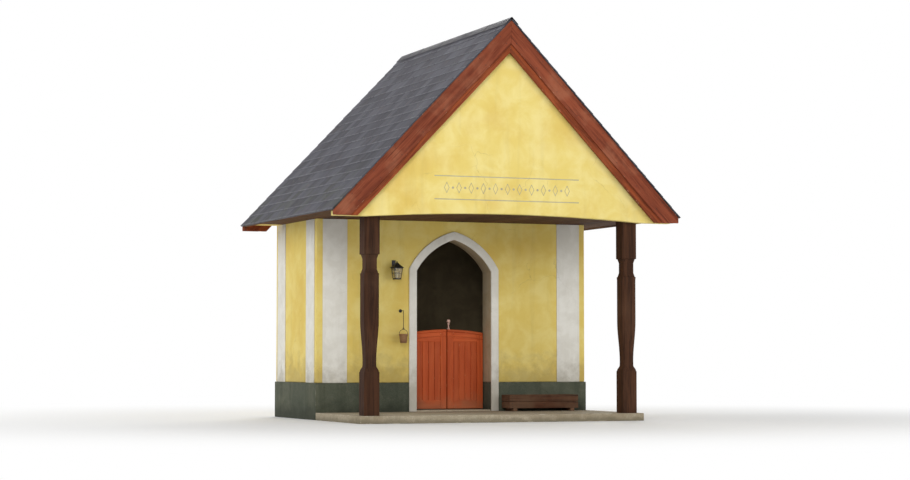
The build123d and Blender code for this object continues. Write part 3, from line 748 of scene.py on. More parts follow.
bm = newMesh()
lineSize = (2 * gablePaint["halfLength"], paintDepth, gablePaint["lineWidth"])
for height in gablePaint["lineHeights"]:
    addBoard(bm, (-gablePaint["halfLength"], paintFace, height), lineSize, "xzy", gablePaint["soft"])
middleZ = sum(gablePaint["lineHeights"]) / 2 + gablePaint["lineWidth"] / 2
step = 2 * gablePaint["halfLength"] / (gablePaint["lozenges"] + 1)
dotTop = gablePaint["dotSunk"] + gablePaint["proud"]
dotSteps = [(0, 0), (gablePaint["dot"], 0), (gablePaint["dot"], dotTop), (0, dotTop)]
for i in range(gablePaint["lozenges"]):
    x = -gablePaint["halfLength"] + (i + 1) * step
    addLozenge(bm, (x, paintFace, middleZ))
    if i:
        place = (x - step / 2, gableFront + gablePaint["dotSunk"], middleZ)
        addTurned(bm, place, dotSteps, 16, (0, -1, 0))
finishPiece("gablePaintLines", bm, [greyLines])


# plinth, sill and floors

ground = {"plinthSoft": 0.012, "porchSoft": 0.009, "sillSoft": 0.006, "roomSoft": 0.004}
plinthNodes = ["plinth_" + place for place in ("front_left", "front_right", "left", "right", "back")]
plinth = dressNodes("plinthSkin", plinthNodes, plinthRender, ground["plinthSoft"], segments=3)
# the plinth's faces inside the room take the room plaster painted dark as shade
plinth.data.materials.append(roomShadePlaster)
for face in plinth.data.polygons:
    if inRoom(face.center):
        face.material_index = 1
dressNodes("porchSlab", ["porch_floor"], wornScreed, ground["porchSoft"], segments=3)
dressNodes("sillSlab", ["door_sill"], wornScreed, ground["sillSoft"])
dressNodes("roomSlab", ["room_floor"], wornScreed, ground["roomSoft"])
print("plinth and floors done")


# slates laid in courses from the eaves up, each with its own tone, tilt and chipped corners

roof = {
    "pitch": math.radians(46), "layer": 0.0245, "lift": 0.0148, "length": 0.43, "width": 0.235, "thickness": 0.006,
    "exposure": 0.186, "topCourse": 0.1, "underLength": 0.25, "underThickness": 0.005,
    "sideGap": 0.004, "headGap": 0.004, "tailGap": 0.0005, "underGap": 0.001, "endGap": 0.001,
    "firstWobble": 0.015, "cutWobble": 0.02, "lastWobble": 0.01, "tailWobble": 0.005, "sink": 0.0008,
    "leastChip": 0.003, "chip": 0.02, "bevel": 0.002, "wornBand": 0.03,
}
slateLow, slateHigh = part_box("roof_slates_left")
apexZ, roofFront, roofBack = slateHigh.z, slateLow.y, slateHigh.y
cosPitch, sinPitch, tanPitch = math.cos(roof["pitch"]), math.sin(roof["pitch"]), math.tan(roof["pitch"])
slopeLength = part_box("roof_slates_right")[1].x / cosPitch


def onSlope(side, down, y, depth):
    # a point of the roof: so far down the slope from the ridge, and so deep below its face
    return Vector((side * (down * cosPitch - depth * sinPitch), y, apexZ - down * sinPitch - depth * cosPitch))


def slopeAxes(side):
    # down the slope, along the ridge, and square to both
    down = onSlope(side, 1, 0, 0) - onSlope(side, 0, 0, 0)
    return down, Vector((0, 1, 0)), down.cross(Vector((0, 1, 0)))


def addSlate(bm, side, head, tail, y0, y1, lift, thickness):
    edge = bm.loops.layers.float["edge"]
    least, most = roof["leastChip"], roof["chip"]
    chips = [random.uniform(least, most) if random.random() < 0.5 else least for _ in range(2)]
    tail -= random.uniform(0, roof["tailWobble"])
    sink = random.uniform(0, roof["sink"])

    def onSlate(down, y, height):
        # a point so high over the slate's underside
        under = roof["layer"] - lift * (down - (tail - roof["length"])) / roof["length"] - sink
        return bm.verts.new(onSlope(side, down, y, under - height))

    outline = [(head, y0), (head, y1), (tail - chips[0], y1), (tail, y1 - chips[0]), (tail, y0 + chips[1]),
               (tail - chips[1], y0)]
    middle = ((head + tail) / 2, (y0 + y1) / 2)
    bevel = roof["bevel"]
    inner = [(down + (bevel if down < middle[0] else -bevel), y + (bevel if y < middle[1] else -bevel))
             for down, y in outline]
    levels = ((outline, 0), (outline, thickness - bevel), (inner, thickness))
    rings = [[onSlate(down, y, height) for down, y in line] for line, height in levels]
    for lower, upper in zip(rings, rings[1:]):
        for k in range(6):
            if upper is rings[2] and k in (1, 5):
                continue
            face = bm.faces.new((lower[k], lower[(k + 1) % 6], upper[(k + 1) % 6], upper[k]))
            if upper is rings[2] or k in (2, 3, 4):
                markEdge(bm, [face])
    line = [onSlate(tail - roof["wornBand"], y, thickness) for y in (inner[1][1], inner[0][1])]
    bm.faces.new(rings[0][::-1])
    bm.faces.new((rings[2][0], rings[2][1], line[0], line[1]))
    bm.faces.new((rings[1][1], rings[1][2], rings[2][2], line[0], rings[2][1]))
    bm.faces.new((rings[1][5], rings[1][0], rings[2][0], line[1], rings[2][5]))
    worn = bm.faces.new((line[1], line[0], *rings[2][2:]))
    for loop in worn.loops:  # weathered towards the tail
        loop[edge] = 0.0 if loop.vert in line else 0.75
    markGrain(bm, [vert for ring in rings for vert in ring] + line, slopeAxes(side))


def slateCuts(course):
    # each slate's front and back, starting with half a slate in every second course
    width, end = roof["width"], roofBack - roof["endGap"]
    cuts = [roofFront + roof["endGap"]]
    first = width * (0.5 if course % 2 else 1.0) + random.uniform(-roof["firstWobble"], roof["firstWobble"])
    cuts.append(cuts[0] + first)
    while cuts[-1] < roofBack - width * 1.6:
        cuts.append(cuts[-1] + width + random.uniform(-roof["cutWobble"], roof["cutWobble"]))
    if roofBack - cuts[-1] > width * 1.3:  # too wide for one slate
        cuts.append((cuts[-1] + roofBack) / 2 + random.uniform(-roof["lastWobble"], roof["lastWobble"]))
    return list(zip(cuts, cuts[1:] + [end]))


for side, label in bothSides:
    bm = newMesh()
    top = roof["layer"] * tanPitch + roof["headGap"]
    gap = roof["sideGap"] / 2
    course = 0
    while slopeLength - course * roof["exposure"] > roof["topCourse"]:
        tail = slopeLength - course * roof["exposure"] - roof["tailGap"]
        head = max(top, tail - roof["length"])
        cuts = slateCuts(course)
        for y0, y1 in cuts:
            addSlate(bm, side, head, tail, y0 + gap, y1 - gap, roof["lift"], roof["thickness"])
        if course == 0:  # the short course under the eaves course
            head, tail = tail - roof["underLength"], tail - roof["underGap"]
            for y0, y1 in cuts:
                addSlate(bm, side, head, tail, y0, y1, 0.0, roof["underThickness"])
        course += 1
    finishPiece("slateCourses_" + label, bm, [roofSlate], ["roof_slates_" + label])
print("slates laid:", course, "courses a side")


# roof boards under the slates

boarding = {"width": 0.14, "gap": 0.003, "headGap": 0.002, "top": 0.0252, "bottom": 0.0548, "soft": 0.002}
boardLow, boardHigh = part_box("roof_boarding_left")
boardStart = boarding["bottom"] * tanPitch + boarding["headGap"]
boardEnd = (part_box("roof_boarding_right")[1].x + boarding["top"] * sinPitch) / cosPitch
count = round((boardEnd - boardStart) / boarding["width"])
pitch = (boardEnd - boardStart) / count
for side, label in bothSides:
    bm = newMesh()
    out = onSlope(side, 0, 0, boarding["top"]) - onSlope(side, 0, 0, boarding["bottom"])
    for i in range(count):
        down = boardStart + i * pitch + boarding["gap"] / 2
        downEnd = boardStart + (i + 1) * pitch - boarding["gap"] / 2
        start, end = [onSlope(side, reach, boardLow.y, boarding["bottom"]) for reach in (down, downEnd)]
        addPlank(bm, start, (0, boardHigh.y - boardLow.y, 0), end - start, out, boarding["soft"])
    finishPiece("roofBoards_" + label, bm, [brownBoards], ["roof_boarding_" + label])


# ridge cap of folded sheet in lapped lengths, with a rounded fold and a turned-down edge along each wing

ridge = {
    "lengths": 5, "lap": 0.07, "sheet": 0.0016, "fold": 0.012, "edge": 0.003, "edgeDrop": 0.0025, "stud": 0.005,
    "sinkStart": 0.0022, "sinkLap": (0.0004, 0.0008), "sinkEnd": 0.0024, "inset": 0.004,
    "studStart": 0.03, "studInset": 0.035, "studLift": 0.0028,
}
capLow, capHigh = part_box("ridge_cap")
wing = (capHigh.x - ridge["inset"]) / cosPitch
bm = newMesh()


def ridgeProfile(sink):
    # wing edge to wing edge over the ridge, sunk below the CAD face
    rise = capHigh.z - sink / cosPitch
    fold = ridge["fold"]

    def onWing(side, down):
        drop = ridge["edgeDrop"] if down == wing else 0.0
        return Vector((side * down * cosPitch, 0, rise - down * sinPitch - drop))

    reaches = (wing, wing - ridge["edge"], fold)
    crown = [Vector((fold * x, 0, rise - fold * drop)) for x, drop in ((-0.4, 0.52), (0, 0.36), (0.4, 0.52))]
    return [onWing(-1, down) for down in reaches] + crown + [onWing(1, down) for down in reversed(reaches)]


pieceLength = (capHigh.y - capLow.y) / ridge["lengths"]
for i in range(ridge["lengths"]):
    start = capLow.y + i * pieceLength + (0.0 if i == 0 else -ridge["lap"])
    end = capLow.y + (i + 1) * pieceLength
    sinks = ridge["sinkLap"] if i else (ridge["sinkStart"], ridge["sinkStart"])
    rows = []
    for y, sink in ((start, sinks[0]), (start + ridge["lap"], sinks[1]), (end, ridge["sinkEnd"])):
        profile = ridgeProfile(sink)
        rows.append([[bm.verts.new(point + Vector((0, y, -depth))) for point in profile]
                     for depth in (0, ridge["sheet"] / cosPitch)])
    bays = range(len(rows[0][0]) - 1)
    for (outer, inner), (outerNext, innerNext) in zip(rows, rows[1:]):
        for k in bays:
            bm.faces.new((outer[k], outer[k + 1], outerNext[k + 1], outerNext[k]))
            bm.faces.new((inner[k], innerNext[k], innerNext[k + 1], inner[k + 1]))
        for k in (0, -1):
            bm.faces.new((outer[k], outerNext[k], innerNext[k], inner[k]))
    for outer, inner in (rows[0], rows[-1]):
        for k in bays:
            bm.faces.new((outer[k], outer[k + 1], inner[k + 1], inner[k]))
    for side in (-1, 1):
        facing = (side * sinPitch, 0, cosPitch)
        for y in (start + ridge["studStart"], (start + end) / 2):
            place = onSlope(side, wing - ridge["studInset"], y, 0.0) + Vector(facing) * ridge["studLift"]
            addStud(bm, place, facing, ridge["stud"])
markGrain(bm, bm.verts, alongY, 0.5)
finishPiece("ridgeLengths", bm, [ridgeSheet], ["ridge_cap"])
print("ridge capped")


# bargeboards and the deeper trim boards behind them, nailed along the rake

verge = {
    "soft": 0.005, "nail": 0.006, "nailStep": 0.42, "nailDepths": (0.07, 0.19), "firstNail": 0.3, "lastNail": 0.12,
    "nailSunk": 0.001,
}
vergeBoards = (("bargeboardPlank_", "bargeboard_", redTimber), ("vergeTrim_", "verge_trim_", trimTimberAndShade))
for end in ("front", "back"):
    for side, label in bothSides:
        down, along, out = slopeAxes(side)
        place = end + "_" + label
        for name, node, timber in vergeBoards:
            dressNodes(name + place, [node + place], timber, verge["soft"], (down, out, along))
bm = newMesh()
for face, facing in ((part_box("bargeboard_front_left")[0].y, -1), (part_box("bargeboard_back_left")[1].y, 1)):
    for side in (-1, 1):
        down = verge["firstNail"]
        while down < slopeLength - verge["lastNail"]:
            for depth in verge["nailDepths"]:
                place = onSlope(side, down, face - facing * verge["nailSunk"], depth)
                addStud(bm, place, (0, facing, 0), verge["nail"])
            down += verge["nailStep"]
finishPiece("vergeNails", bm, [blackIron])
print("verges boarded")


# carved porch posts: square foot and head, waisted shaft with stopped chamfers

postShape = {
    # height, half width and chamfer
    "steps": (
        (0.100, 0.104, 0.010), (0.655, 0.104, 0.010), (0.665, 0.098, 0.008), (0.740, 0.073, 0.014),
        (0.800, 0.073, 0.016), (1.330, 0.101, 0.026), (1.880, 0.101, 0.026), (1.920, 0.099, 0.012),
        (1.930, 0.088, 0.010), (1.985, 0.076, 0.010), (2.105, 0.076, 0.010), (2.160, 0.088, 0.010),
        (2.170, 0.104, 0.008), (2.180, 0.104, 0.010), (2.719, 0.104, 0.010),
    ),
    "rings": 9, "beamSoft": 0.006,
}
for side, label in bothSides:
    low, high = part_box("porch_post_" + label)
    centre = (low + high) / 2
    bm = newMesh()
    levels = [postShape["steps"][0]]
    for (z0, w0, c0), (z1, w1, c1) in zip(postShape["steps"], postShape["steps"][1:]):
        for k in range(1, postShape["rings"] + 1):
            t = k / postShape["rings"]
            ease = t * t * (3 - 2 * t)
            levels.append((z0 + (z1 - z0) * t, w0 + (w1 - w0) * ease, c0 + (c1 - c0) * ease))
    rings = []
    for z, half, cut in levels:
        flat = half - cut
        corners = ((flat, half), (half, flat), (half, -flat), (flat, -half),
                   (-flat, -half), (-half, -flat), (-half, flat), (-flat, half))
        rings.append([bm.verts.new((centre.x + x, centre.y + y, min(z, high.z))) for x, y in corners])
    markEdge(bm, bridgeRings(bm, rings)[::2])  # every second face is a chamfer
    markGrain(bm, bm.verts, upright, 0.4 + 0.2 * side)
    finishPiece("carvedPost_" + label, bm, [darkTimber], ["porch_post_" + label], 28)
    beam = "side_beam_" + label
    dressNodes("sideBeam_" + label, [beam], darkTimber, postShape["beamSoft"], alongY)
print("porch posts carved")


# ceilings and eaves soffits of planks

lining = {"width": 0.145, "gap": 0.004, "soffitWidth": 0.12, "soffitInset": 0.021}
for node, name in (("porch_ceiling", "porchCeilingPlanks"), ("room_ceiling", "roomCeilingPlanks")):
    bm = newMesh()
    addDeck(bm, *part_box(node), lining["width"], lining["gap"], "yxz")
    finishPiece(name, bm, [brownBoards], [node])
beamX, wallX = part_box("side_beam_right")[1].x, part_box("right_wall")[1].x
for side, label in bothSides:
    bm = newMesh()
    low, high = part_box("eaves_soffit_" + label)
    outerX = side * (max(abs(low.x), abs(high.x)) - lining["soffitInset"])
    for nearX, y0, y1 in ((side * beamX, low.y, wallFront), (side * wallX, wallFront, high.y)):
        corners = (min(nearX, outerX), y0, low.z), (max(nearX, outerX), y1, high.z)
        addDeck(bm, *corners, lining["soffitWidth"], lining["gap"], "yxz")
    finishPiece("soffitPlanks_" + label, bm, [brownBoards], ["eaves_soffit_" + label])
print("ceilings lined")


# half-height double gate: framed leaves with boarded panels under a cambered cap

gate = {
    "halfWidth": 0.556, "sideTop": 1.185, "camber": 0.048, "thickness": 0.045, "soft": 0.004,
    "cap": 0.036, "capProud": 0.008, "capSoft": 0.006, "capGap": 0.0005,
    "bead": 0.014, "beadDrop": 0.052, "beadProud": 0.005, "beadSunk": 0.003, "beadSoft": 0.003,
    "stile": 0.09, "bottomRail": 0.12, "topRail": 0.09, "railSet": 0.001,
    "boards": 4, "boardGap": 0.004, "boardSet": 0.007, "boardTuck": 0.01, "boardSoft": 0.004,
    "core": 0.009, "coreSet": 0.018, "coreTuck": 0.005, "coreSoft": 0.001, "coreTone": 0.3,
    "battenWidth": 0.06, "batten": 0.010, "battenSunk": 0.001,
}
strap = {
    "soft": 0.0012, "stud": 0.006, "studStart": 0.02, "studReaches": (0.05, 0.15, 0.25, 0.345), "studInset": 0.015,
    "studProud": 0.0045, "pinSoft": 0.001,
}
gateBack = roomLow.y
gateFace = gateBack - gate["thickness"]


def camberLine(drop):
    # the cambered top of the gate, lowered by drop
    radius = (gate["camber"] ** 2 + gate["halfWidth"] ** 2) / (2 * gate["camber"])
    return lambda x: gate["sideTop"] - drop + math.sqrt(radius ** 2 - x ** 2) - (radius - gate["camber"])


def levelLine(height):
    return lambda x: height


def between(a, b, steps):
    low, high = min(a, b), max(a, b)
    return [low + (high - low) * k / steps for k in range(steps + 1)]


underCap = camberLine(gate["cap"] + gate["capGap"])
beadTop = gate["cap"] + gate["beadDrop"]
for side, label in bothSides:
    low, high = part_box("gate_leaf_" + label)
    bm = newMesh()
    hingeX, meetX = (low.x, high.x) if side < 0 else (high.x, low.x)
    innerHinge, innerMeet = hingeX - side * gate["stile"], meetX + side * gate["stile"]
    panelX, panelWidth = min(innerHinge, innerMeet), abs(innerHinge - innerMeet)
    foot = levelLine(low.z)
    panelLow, panelHigh = low.z + gate["bottomRail"], gate["sideTop"] - gate["cap"] - gate["topRail"]
    for outer, inner in ((hingeX, innerHinge), (meetX, innerMeet)):
        addStrip(bm, between(outer, inner, 3), foot, underCap, gateFace, gateBack, gate["soft"], upright)
    for steps, lowZ, highZ in ((1, foot, levelLine(panelLow)), (8, levelLine(panelHigh), underCap)):
        addStrip(bm, between(innerHinge, innerMeet, steps), lowZ, highZ,
                 gateFace + gate["railSet"], gateBack - gate["railSet"], gate["soft"])
    addStrip(bm, between(hingeX, meetX, 12), underCap, camberLine(0),
             gateFace - gate["capProud"], gateBack + gate["capProud"], gate["capSoft"])
    addStrip(bm, between(hingeX, meetX, 12), camberLine(beadTop + gate["bead"]), camberLine(beadTop),
             gateFace - gate["beadProud"], gateFace + gate["beadSunk"], gate["beadSoft"])
    boardWidth, panelHeight = panelWidth / gate["boards"], panelHigh - panelLow
    boardSize = (boardWidth - gate["boardGap"], gate["thickness"] - 2 * gate["boardSet"],
                 panelHeight + 2 * gate["boardTuck"])
    for i in range(gate["boards"]):
        boardX = panelX + i * boardWidth + gate["boardGap"] / 2
        corner = (boardX, gateFace + gate["boardSet"], panelLow - gate["boardTuck"])
        addBoard(bm, corner, boardSize, "zxy", gate["boardSoft"])
    # a thin core behind the gaps
    corner = (panelX, gateFace + gate["coreSet"], panelLow - gate["coreTuck"])
    coreSize = (panelWidth, gate["core"], panelHeight + 2 * gate["coreTuck"])
    addBoard(bm, corner, coreSize, "zxy", gate["coreSoft"], gate["coreTone"])
    if side > 0:  # the batten over the meeting edge
        battenTop = camberLine(gate["cap"] + gate["camber"])
        addStrip(bm, between(meetX, meetX + gate["battenWidth"], 3), foot, battenTop,
                 gateFace - gate["batten"], gateFace + gate["battenSunk"], gate["soft"], upright)
    body = "gate_" + label
    finishPiece("gateLeafFramed_" + label, bm, [gatePaint], ["gate_leaf_" + label], body=body)

    straps = "gate_straps_" + label
    bm = copyNodes([straps])
    softenEdges(bm, sharpEdges(bm), strap["soft"])
    markGrain(bm, bm.verts, alongX, 0.5)
    strapLow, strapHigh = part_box("gate_straps_" + label)
    for z in (strapLow.z + strap["studInset"], strapHigh.z - strap["studInset"]):
        for reach in strap["studReaches"]:
            place = (hingeX - side * (reach + strap["studStart"]), gateBack + strap["studProud"], z)
            addStud(bm, place, (0, 1, 0), strap["stud"])
    finishPiece("strapHinges_" + label, bm, [blackIron], [straps], body=body)
    dressNodes("hingePins_" + label, ["gate_pintles_" + label], blackIron, strap["pinSoft"])
print("gate hung")


# turned finial on the meeting stile

finial = {"steps": (
    (0, 0), (0.022, 0), (0.0222, 0.004), (0.0205, 0.012), (0.014, 0.017), (0.0105, 0.026), (0.0092, 0.036),
    (0.0088, 0.055), (0.0098, 0.066), (0.0155, 0.0735), (0.016, 0.077), (0.0155, 0.081), (0.0102, 0.0865),
    (0.012, 0.092), (0.0205, 0.099), (0.0255, 0.108), (0.027, 0.116), (0.0255, 0.126), (0.0205, 0.1345),
    (0.0115, 0.1405), (0, 0.1425),
)}
low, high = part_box("gate_finial")
bm = newMesh()
stretchZ = (high.z - low.z) / finial["steps"][-1][1]
finialSteps = [(radius, height * stretchZ) for radius, height in finial["steps"]]
addTurned(bm, ((low.x + high.x) / 2, (low.y + high.y) / 2, low.z), finialSteps, 40)
finishPiece("turnedFinial", bm, [finialPaint], ["gate_finial"], 60, "gate_right")


# wall lantern: tapered cage with glazing bars, hipped hood, scroll bracket and a small lamp inside

lantern = {
    "bar": 0.008, "midBar": 0.005, "base": 0.092, "crown": 0.126, "cage": 0.150, "tray": 0.009, "pane": 0.002,
    "paneGap": 0.002, "soft": 0.001, "traySoft": 0.002, "plateSoft": 0.003, "sunk": 0.004,
    "hood": 0.152, "hoodRise": 0.068, "hoodTop": 0.03,
    "hoodSteps": ((1, 0.0), (1, 0.004), (0.72, 0.021), (0.5, 0.038), (0.3, 0.056)),
    "plate": (0.056, 0.008, 0.15), "arm": 0.006, "stud": 0.006, "studRise": 0.055, "studProud": 0.0078,
    "scrollRadius": 0.026, "scroll": 0.004, "scrollDrop": 0.044, "scrollReach": 0.012, "scrollStretch": 1.1,
    "socket": ((0, 0), (0.02, 0), (0.02, 0.014), (0.012, 0.02), (0, 0.02)),
    "knob": ((0, 0), (0.013, 0), (0.013, 0.006), (0.007, 0.009), (0.011, 0.014), (0.012, 0.018),
             (0.009, 0.0225), (0, 0.0245)),
    "bulb": ((0, 0), (0.014, 0), (0.014, 0.03), (0.0125, 0.034), (0.0138, 0.039), (0.0168, 0.046),
             (0.0202, 0.054), (0.0225, 0.061), (0.0235, 0.068), (0.0234, 0.075), (0.0222, 0.082),
             (0.0198, 0.0885), (0.0162, 0.094), (0.0115, 0.098), (0.006, 0.1004), (0, 0.101)),
}
lampLow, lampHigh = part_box("wall_lantern")
lampX, lampY = (lampLow.x + lampHigh.x) / 2, lampLow.y + lantern["hood"] / 2
cageLow = lampLow.z + lantern["tray"]
cageHigh = cageLow + lantern["cage"]
bar, midBar, base, crown, soft = [lantern[key] for key in ("bar", "midBar", "base", "crown", "soft")]
traySize = (base, base, lantern["tray"])
bm = newMesh()
addBoard(bm, (lampX - base / 2, lampY - base / 2, lampLow.z), traySize, "xyz", lantern["traySoft"])
addTurned(bm, (lampX, lampY, lampLow.z + lantern["sunk"]), lantern["socket"], 20)
for sx in (-1, 1):
    for sy in (-1, 1):
        foot, head = [Vector((lampX + sx * (width / 2 - bar / 2), lampY + sy * (width / 2 - bar / 2), z))
                      for width, z in ((base, cageLow), (crown, cageHigh))]
        addPlank(bm, foot - Vector((bar / 2, bar / 2, 0)), head - foot, (bar, 0, 0), (0, bar, 0), soft)
midway = ((cageLow + cageHigh) / 2 - midBar / 2, (base + crown) / 2, midBar)
for z, width, thick in ((cageLow, base, bar), (cageHigh - bar, crown, bar), midway):
    for sign in (-1, 1):
        edgeAt = sign * (width / 2 - thick / 2) - thick / 2
        addBoard(bm, (lampX - width / 2, lampY + edgeAt, z), (width, thick, thick), "xyz", soft)
        addBoard(bm, (lampX + edgeAt, lampY - width / 2, z), (thick, width, thick), "yxz", soft)
hoodLevels = [(lantern["hood"] * share, rise) for share, rise in lantern["hoodSteps"]]
hoodLevels.append((lantern["hoodTop"], lantern["hoodRise"]))
bridgeRings(bm, [[bm.verts.new((lampX + sx * width / 2, lampY + sy * width / 2, cageHigh + rise))
                  for sx, sy in ((-1, -1), (1, -1), (1, 1), (-1, 1))] for width, rise in hoodLevels])
addTurned(bm, (lampX, lampY, cageHigh + lantern["hoodRise"] - lantern["sunk"]), lantern["knob"], 20)
plateZ = cageHigh + lantern["hoodRise"] / 2
plateWide, plateThick, plateHigh = lantern["plate"]
corner = (lampX - plateWide / 2, wallFront - plateThick, plateZ - plateHigh / 2)
addBoard(bm, corner, lantern["plate"], "zxy", lantern["plateSoft"])
for rise in (-lantern["studRise"], lantern["studRise"]):
    addStud(bm, (lampX, wallFront - lantern["studProud"], plateZ + rise), (0, -1, 0), lantern["stud"])
armPoints = ((wallFront - 0.006, 0), (wallFront - 0.05, 0.004), (lampY + 0.03, 0.002), (lampY + 0.006, 0))
addRod(bm, [(lampX, y, plateZ + rise) for y, rise in armPoints], lantern["arm"])
radius, scrollStretch = lantern["scrollRadius"], lantern["scrollStretch"]
scrollY, scrollZ = wallFront - lantern["scrollReach"], plateZ - lantern["scrollDrop"]
scrollAngles = [math.pi * k / 12 for k in range(-6, 13)]
addRod(bm, [(lampX, scrollY - radius * (1 - math.cos(a)), scrollZ + radius * math.sin(a) * scrollStretch)
            for a in scrollAngles], lantern["scroll"], 8)
markGrain(bm, bm.verts, upright, 0.5)
finishPiece("lanternCage", bm, [blackIron], ["wall_lantern"], 40)

bm = newMesh()
paneLow, paneHigh = cageLow + lantern["paneGap"], cageHigh - lantern["paneGap"]
for quarter in range(4):
    spin = Matrix.Translation((lampX, lampY, 0)) @ Matrix.Rotation(quarter * math.pi / 2, 4, "Z")
    corners = [Vector((sign * (width / 2 - bar / 2), bar * 0.6 - width / 2, z))
               for z, width, signs in ((paneLow, base, (-1, 1)), (paneHigh, crown, (1, -1)))
               for sign in signs]
    outer = [bm.verts.new(spin @ corner) for corner in corners]
    inner = [bm.verts.new(spin @ (corner + Vector((0, lantern["pane"], 0)))) for corner in corners]
    bm.faces.new(outer)
    bm.faces.new(inner[::-1])
    for k in range(4):
        bm.faces.new((outer[k], inner[k], inner[(k + 1) % 4], outer[(k + 1) % 4]))
finishPiece("lanternPanes", bm, [paneGlass], ["lantern_glass"])
bm = newMesh()
addTurned(bm, (lampX, lampY, cageLow + 0.001), lantern["bulb"], 28)
finishPiece("lanternBulb", bm, [lampGlass], (), 60)
print("lantern fitted")


# hanging pot with its bail and wall arm

pot = {
    "bottom": 0.044, "rim": 0.064, "rimHeight": 0.024, "height": 0.125, "wall": 0.007, "armHeight": 1.48,
    "rod": 0.004, "bailRod": 0.0032, "ringRod": 0.0028, "ring": 0.011, "plate": 0.024, "stud": 0.003,
    "hookDrop": 0.012, "armStart": 0.002, "armRise": 0.0008, "studShift": 0.015, "studProud": 0.0048,
}
potLow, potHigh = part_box("hanging_pot")
potX, potY = (potLow.x + potHigh.x) / 2, (potLow.y + potHigh.y) / 2
bottom, rim, wall, height = pot["bottom"], pot["rim"], pot["wall"], pot["height"]
rimLow = height - pot["rimHeight"]


def potSide(z):
    return bottom + (rim - 0.003 - bottom) * z / height, z


bm = newMesh()
addTurned(bm, (potX, potY, potLow.z), [
    (0, 0.002), (bottom - 0.008, 0.002), (bottom - 0.006, 0), (bottom - 0.001, 0),
    potSide(0.004), potSide(0.05), potSide(rimLow),
    (rim - 0.001, rimLow + 0.002), (rim, rimLow + 0.006), (rim, height - 0.004), (rim - 0.002, height),
    (rim - wall + 0.001, height), (rim - wall - 0.001, height - 0.003), (bottom - wall, wall), (0, wall),
], 40)
finishPiece("clayPot", bm, [firedClay], ["hanging_pot"], 40)

bm = newMesh()
bail, ring, armZ, plate = rim - wall / 2, pot["ring"], pot["armHeight"], pot["plate"]
rimZ = potLow.z + height
bailAngles = [math.pi * k / 24 for k in range(25)]
addRod(bm, [(potX + bail * math.cos(a), potY, rimZ + bail * math.sin(a)) for a in bailAngles], pot["bailRod"])
addRod(bm, [(potX, potY, z) for z in (rimZ + bail, armZ - pot["hookDrop"], armZ)], pot["rod"])
armPoints = ((wallFront - pot["armStart"], 0), ((wallFront + potY) / 2, pot["armRise"]), (potY - pot["rod"], 0))
addRod(bm, [(potX, y, armZ + rise) for y, rise in armPoints], pot["rod"])
addRod(bm, [(potX + ring * math.cos(a), potY, rimZ + bail + ring + ring * math.sin(a)) for a in ringAngles(16)],
       pot["ringRod"], 8, True)
plateSteps = ((0, 0), (plate, 0), (plate, 0.003), (plate * 0.8, 0.005), (0.006, 0.006), (0, 0.006))
addTurned(bm, (potX, wallFront, armZ), plateSteps, 24, (0, -1, 0))
for shift in (-pot["studShift"], pot["studShift"]):
    addStud(bm, (potX + shift, wallFront - pot["studProud"], armZ), (0, -1, 0), pot["stud"])
finishPiece("potHangerIron", bm, [blackIron], ["pot_hanger"], 50)
print("pot hung")


# plank trough beside the door

trough = {
    "board": 0.025, "gap": 0.006, "soft": 0.004, "endSet": 0.002, "skid": (0.06, 0.04), "skidInset": 0.06,
    "batten": (0.045, 0.02), "battenDrop": 0.012, "battenSoft": 0.002, "floorWidth": 0.115, "floorGap": 0.004,
    "nail": 0.005, "nailInset": 0.045, "nailEdge": 0.022, "nailSunk": 0.001,
}
low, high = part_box("plank_trough")
board, soft = trough["board"], trough["soft"]
skidWide, skidHigh = trough["skid"]
battenWide, battenDeep = trough["batten"]
boxLow = low.z + skidHigh
courseHeight = (high.z - boxLow - trough["gap"]) / 2
courses = [boxLow + i * (courseHeight + trough["gap"]) for i in range(2)]
bm = newMesh()
for z in courses:
    for y in (low.y, high.y - board):
        addBoard(bm, (low.x, y, z), (high.x - low.x, board, courseHeight), "xzy", soft)
    for x in (low.x + trough["endSet"], high.x - board - trough["endSet"]):
        addBoard(bm, (x, low.y + board, z), (board, high.y - low.y - 2 * board, courseHeight), "yzx", soft)
addDeck(bm, (low.x + board, low.y + board, boxLow), (high.x - board, high.y - board, boxLow + board),
        trough["floorWidth"], trough["floorGap"], "xyz")
for x in (low.x + trough["skidInset"], high.x - trough["skidInset"] - skidWide):
    addBoard(bm, (x, low.y, low.z), (skidWide, high.y - low.y, skidHigh), "yxz", soft)
battenSize = (battenWide, battenDeep, high.z - boxLow - board - trough["battenDrop"])
for x in (low.x + board, high.x - board - battenWide):
    for y in (low.y + board, high.y - board - battenDeep):
        addBoard(bm, (x, y, boxLow + board), battenSize, "zxy", trough["battenSoft"])
finishPiece("plankTroughBoards", bm, [troughTimber], ["plank_trough"])
bm = newMesh()
for x in (low.x + trough["nailInset"], high.x - trough["nailInset"], (low.x + high.x) / 2):
    for z in courses:
        for rise in (trough["nailEdge"], courseHeight - trough["nailEdge"]):
            addStud(bm, (x, low.y + trough["nailSunk"], z + rise), (0, -1, 0), trough["nail"])
finishPiece("troughNails", bm, [blackIron])
print("trough built")


# pale floor that fades into the white background, and soft studio light

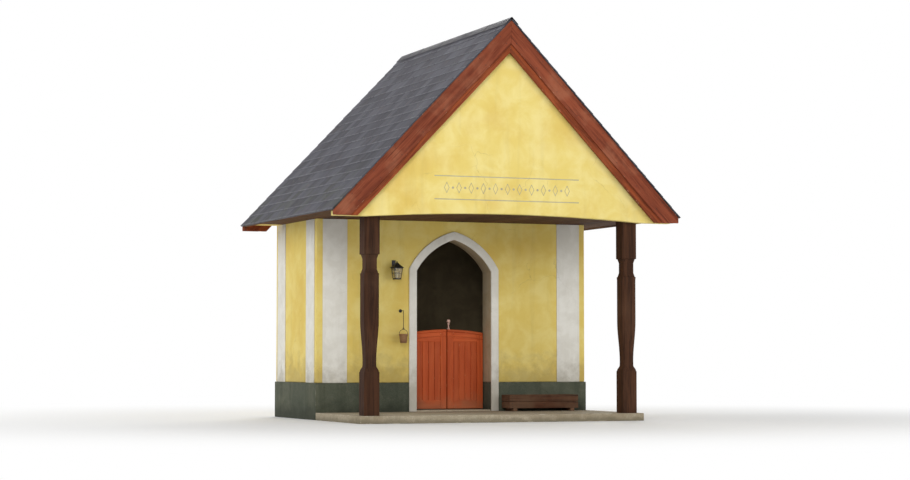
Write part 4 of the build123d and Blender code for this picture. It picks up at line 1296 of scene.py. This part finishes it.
studio = {
    "floorRadius": 70.0, "fadeFrom": 4.0, "fadeTo": 11.0, "floor": (250, 250, 249), "ambient": 0.42,
    "lightAim": (0, 0, 2.2),
    "lights": (
        ("keyLight", (-8.5, -16.5, 8.0), 7.0, 1200.0),
        ("fillLight", (9.0, -16.0, 3.2), 9.0, 700.0),
        ("backLight", (7.0, 15.0, 10.0), 9.0, 1300.0),
        ("sideLight", (-14.0, 8.0, 7.0), 8.0, 700.0),
    ),
}


def seenDirectly(tree):
    # 1 for rays from the camera and for what metal and glass show
    rays = addNode(tree, "LightPath").outputs
    mirrored = mathOf(tree, "MAXIMUM", rays["Is Glossy Ray"], rays["Is Transmission Ray"])
    return mathOf(tree, "MAXIMUM", rays["Is Camera Ray"], mirrored)


bm = bmesh.new()
bmesh.ops.create_circle(bm, cap_ends=True, radius=studio["floorRadius"], segments=96)
floor = addMeshObject("studioFloor", bm)
floor.location.z = -0.001
material, tree, shader = newMaterial("studioFloor", 0.9)
shader.inputs["Base Color"].default_value = shaderColour(studio["floor"])
shader.inputs["Specular IOR Level"].default_value = 0.1
distance = addNode(tree, "VectorMath", {0: placeOf(tree)}, operation="LENGTH").outputs["Value"]
fade = remap(tree, distance, studio["fadeFrom"], studio["fadeTo"])
white = addNode(tree, "Emission").outputs[0]
surface = addNode(tree, "MixShader", {0: times(tree, fade, seenDirectly(tree)), 1: shader.outputs[0], 2: white})
feed(tree.nodes["Material Output"].inputs["Surface"], surface.outputs[0])
floor.data.materials.append(material)

world = bpy.data.worlds.new("studio")
world.use_nodes = True
bpy.context.scene.world = world
tree = world.node_tree
background = tree.nodes["Background"]
background.inputs["Color"].default_value = (1, 1, 1, 1)
feed(background.inputs["Strength"], remap(tree, seenDirectly(tree), 0.0, 1.0, studio["ambient"], 1.0))
for name, place, size, power in studio["lights"]:
    lamp = bpy.data.lights.new(name, "AREA")
    lamp.size, lamp.energy = size, power
    addObject(name, lamp).matrix_world = lookFrom(place, studio["lightAim"])
bpy.context.scene.view_settings.view_transform = "Standard"

print("scene ready")
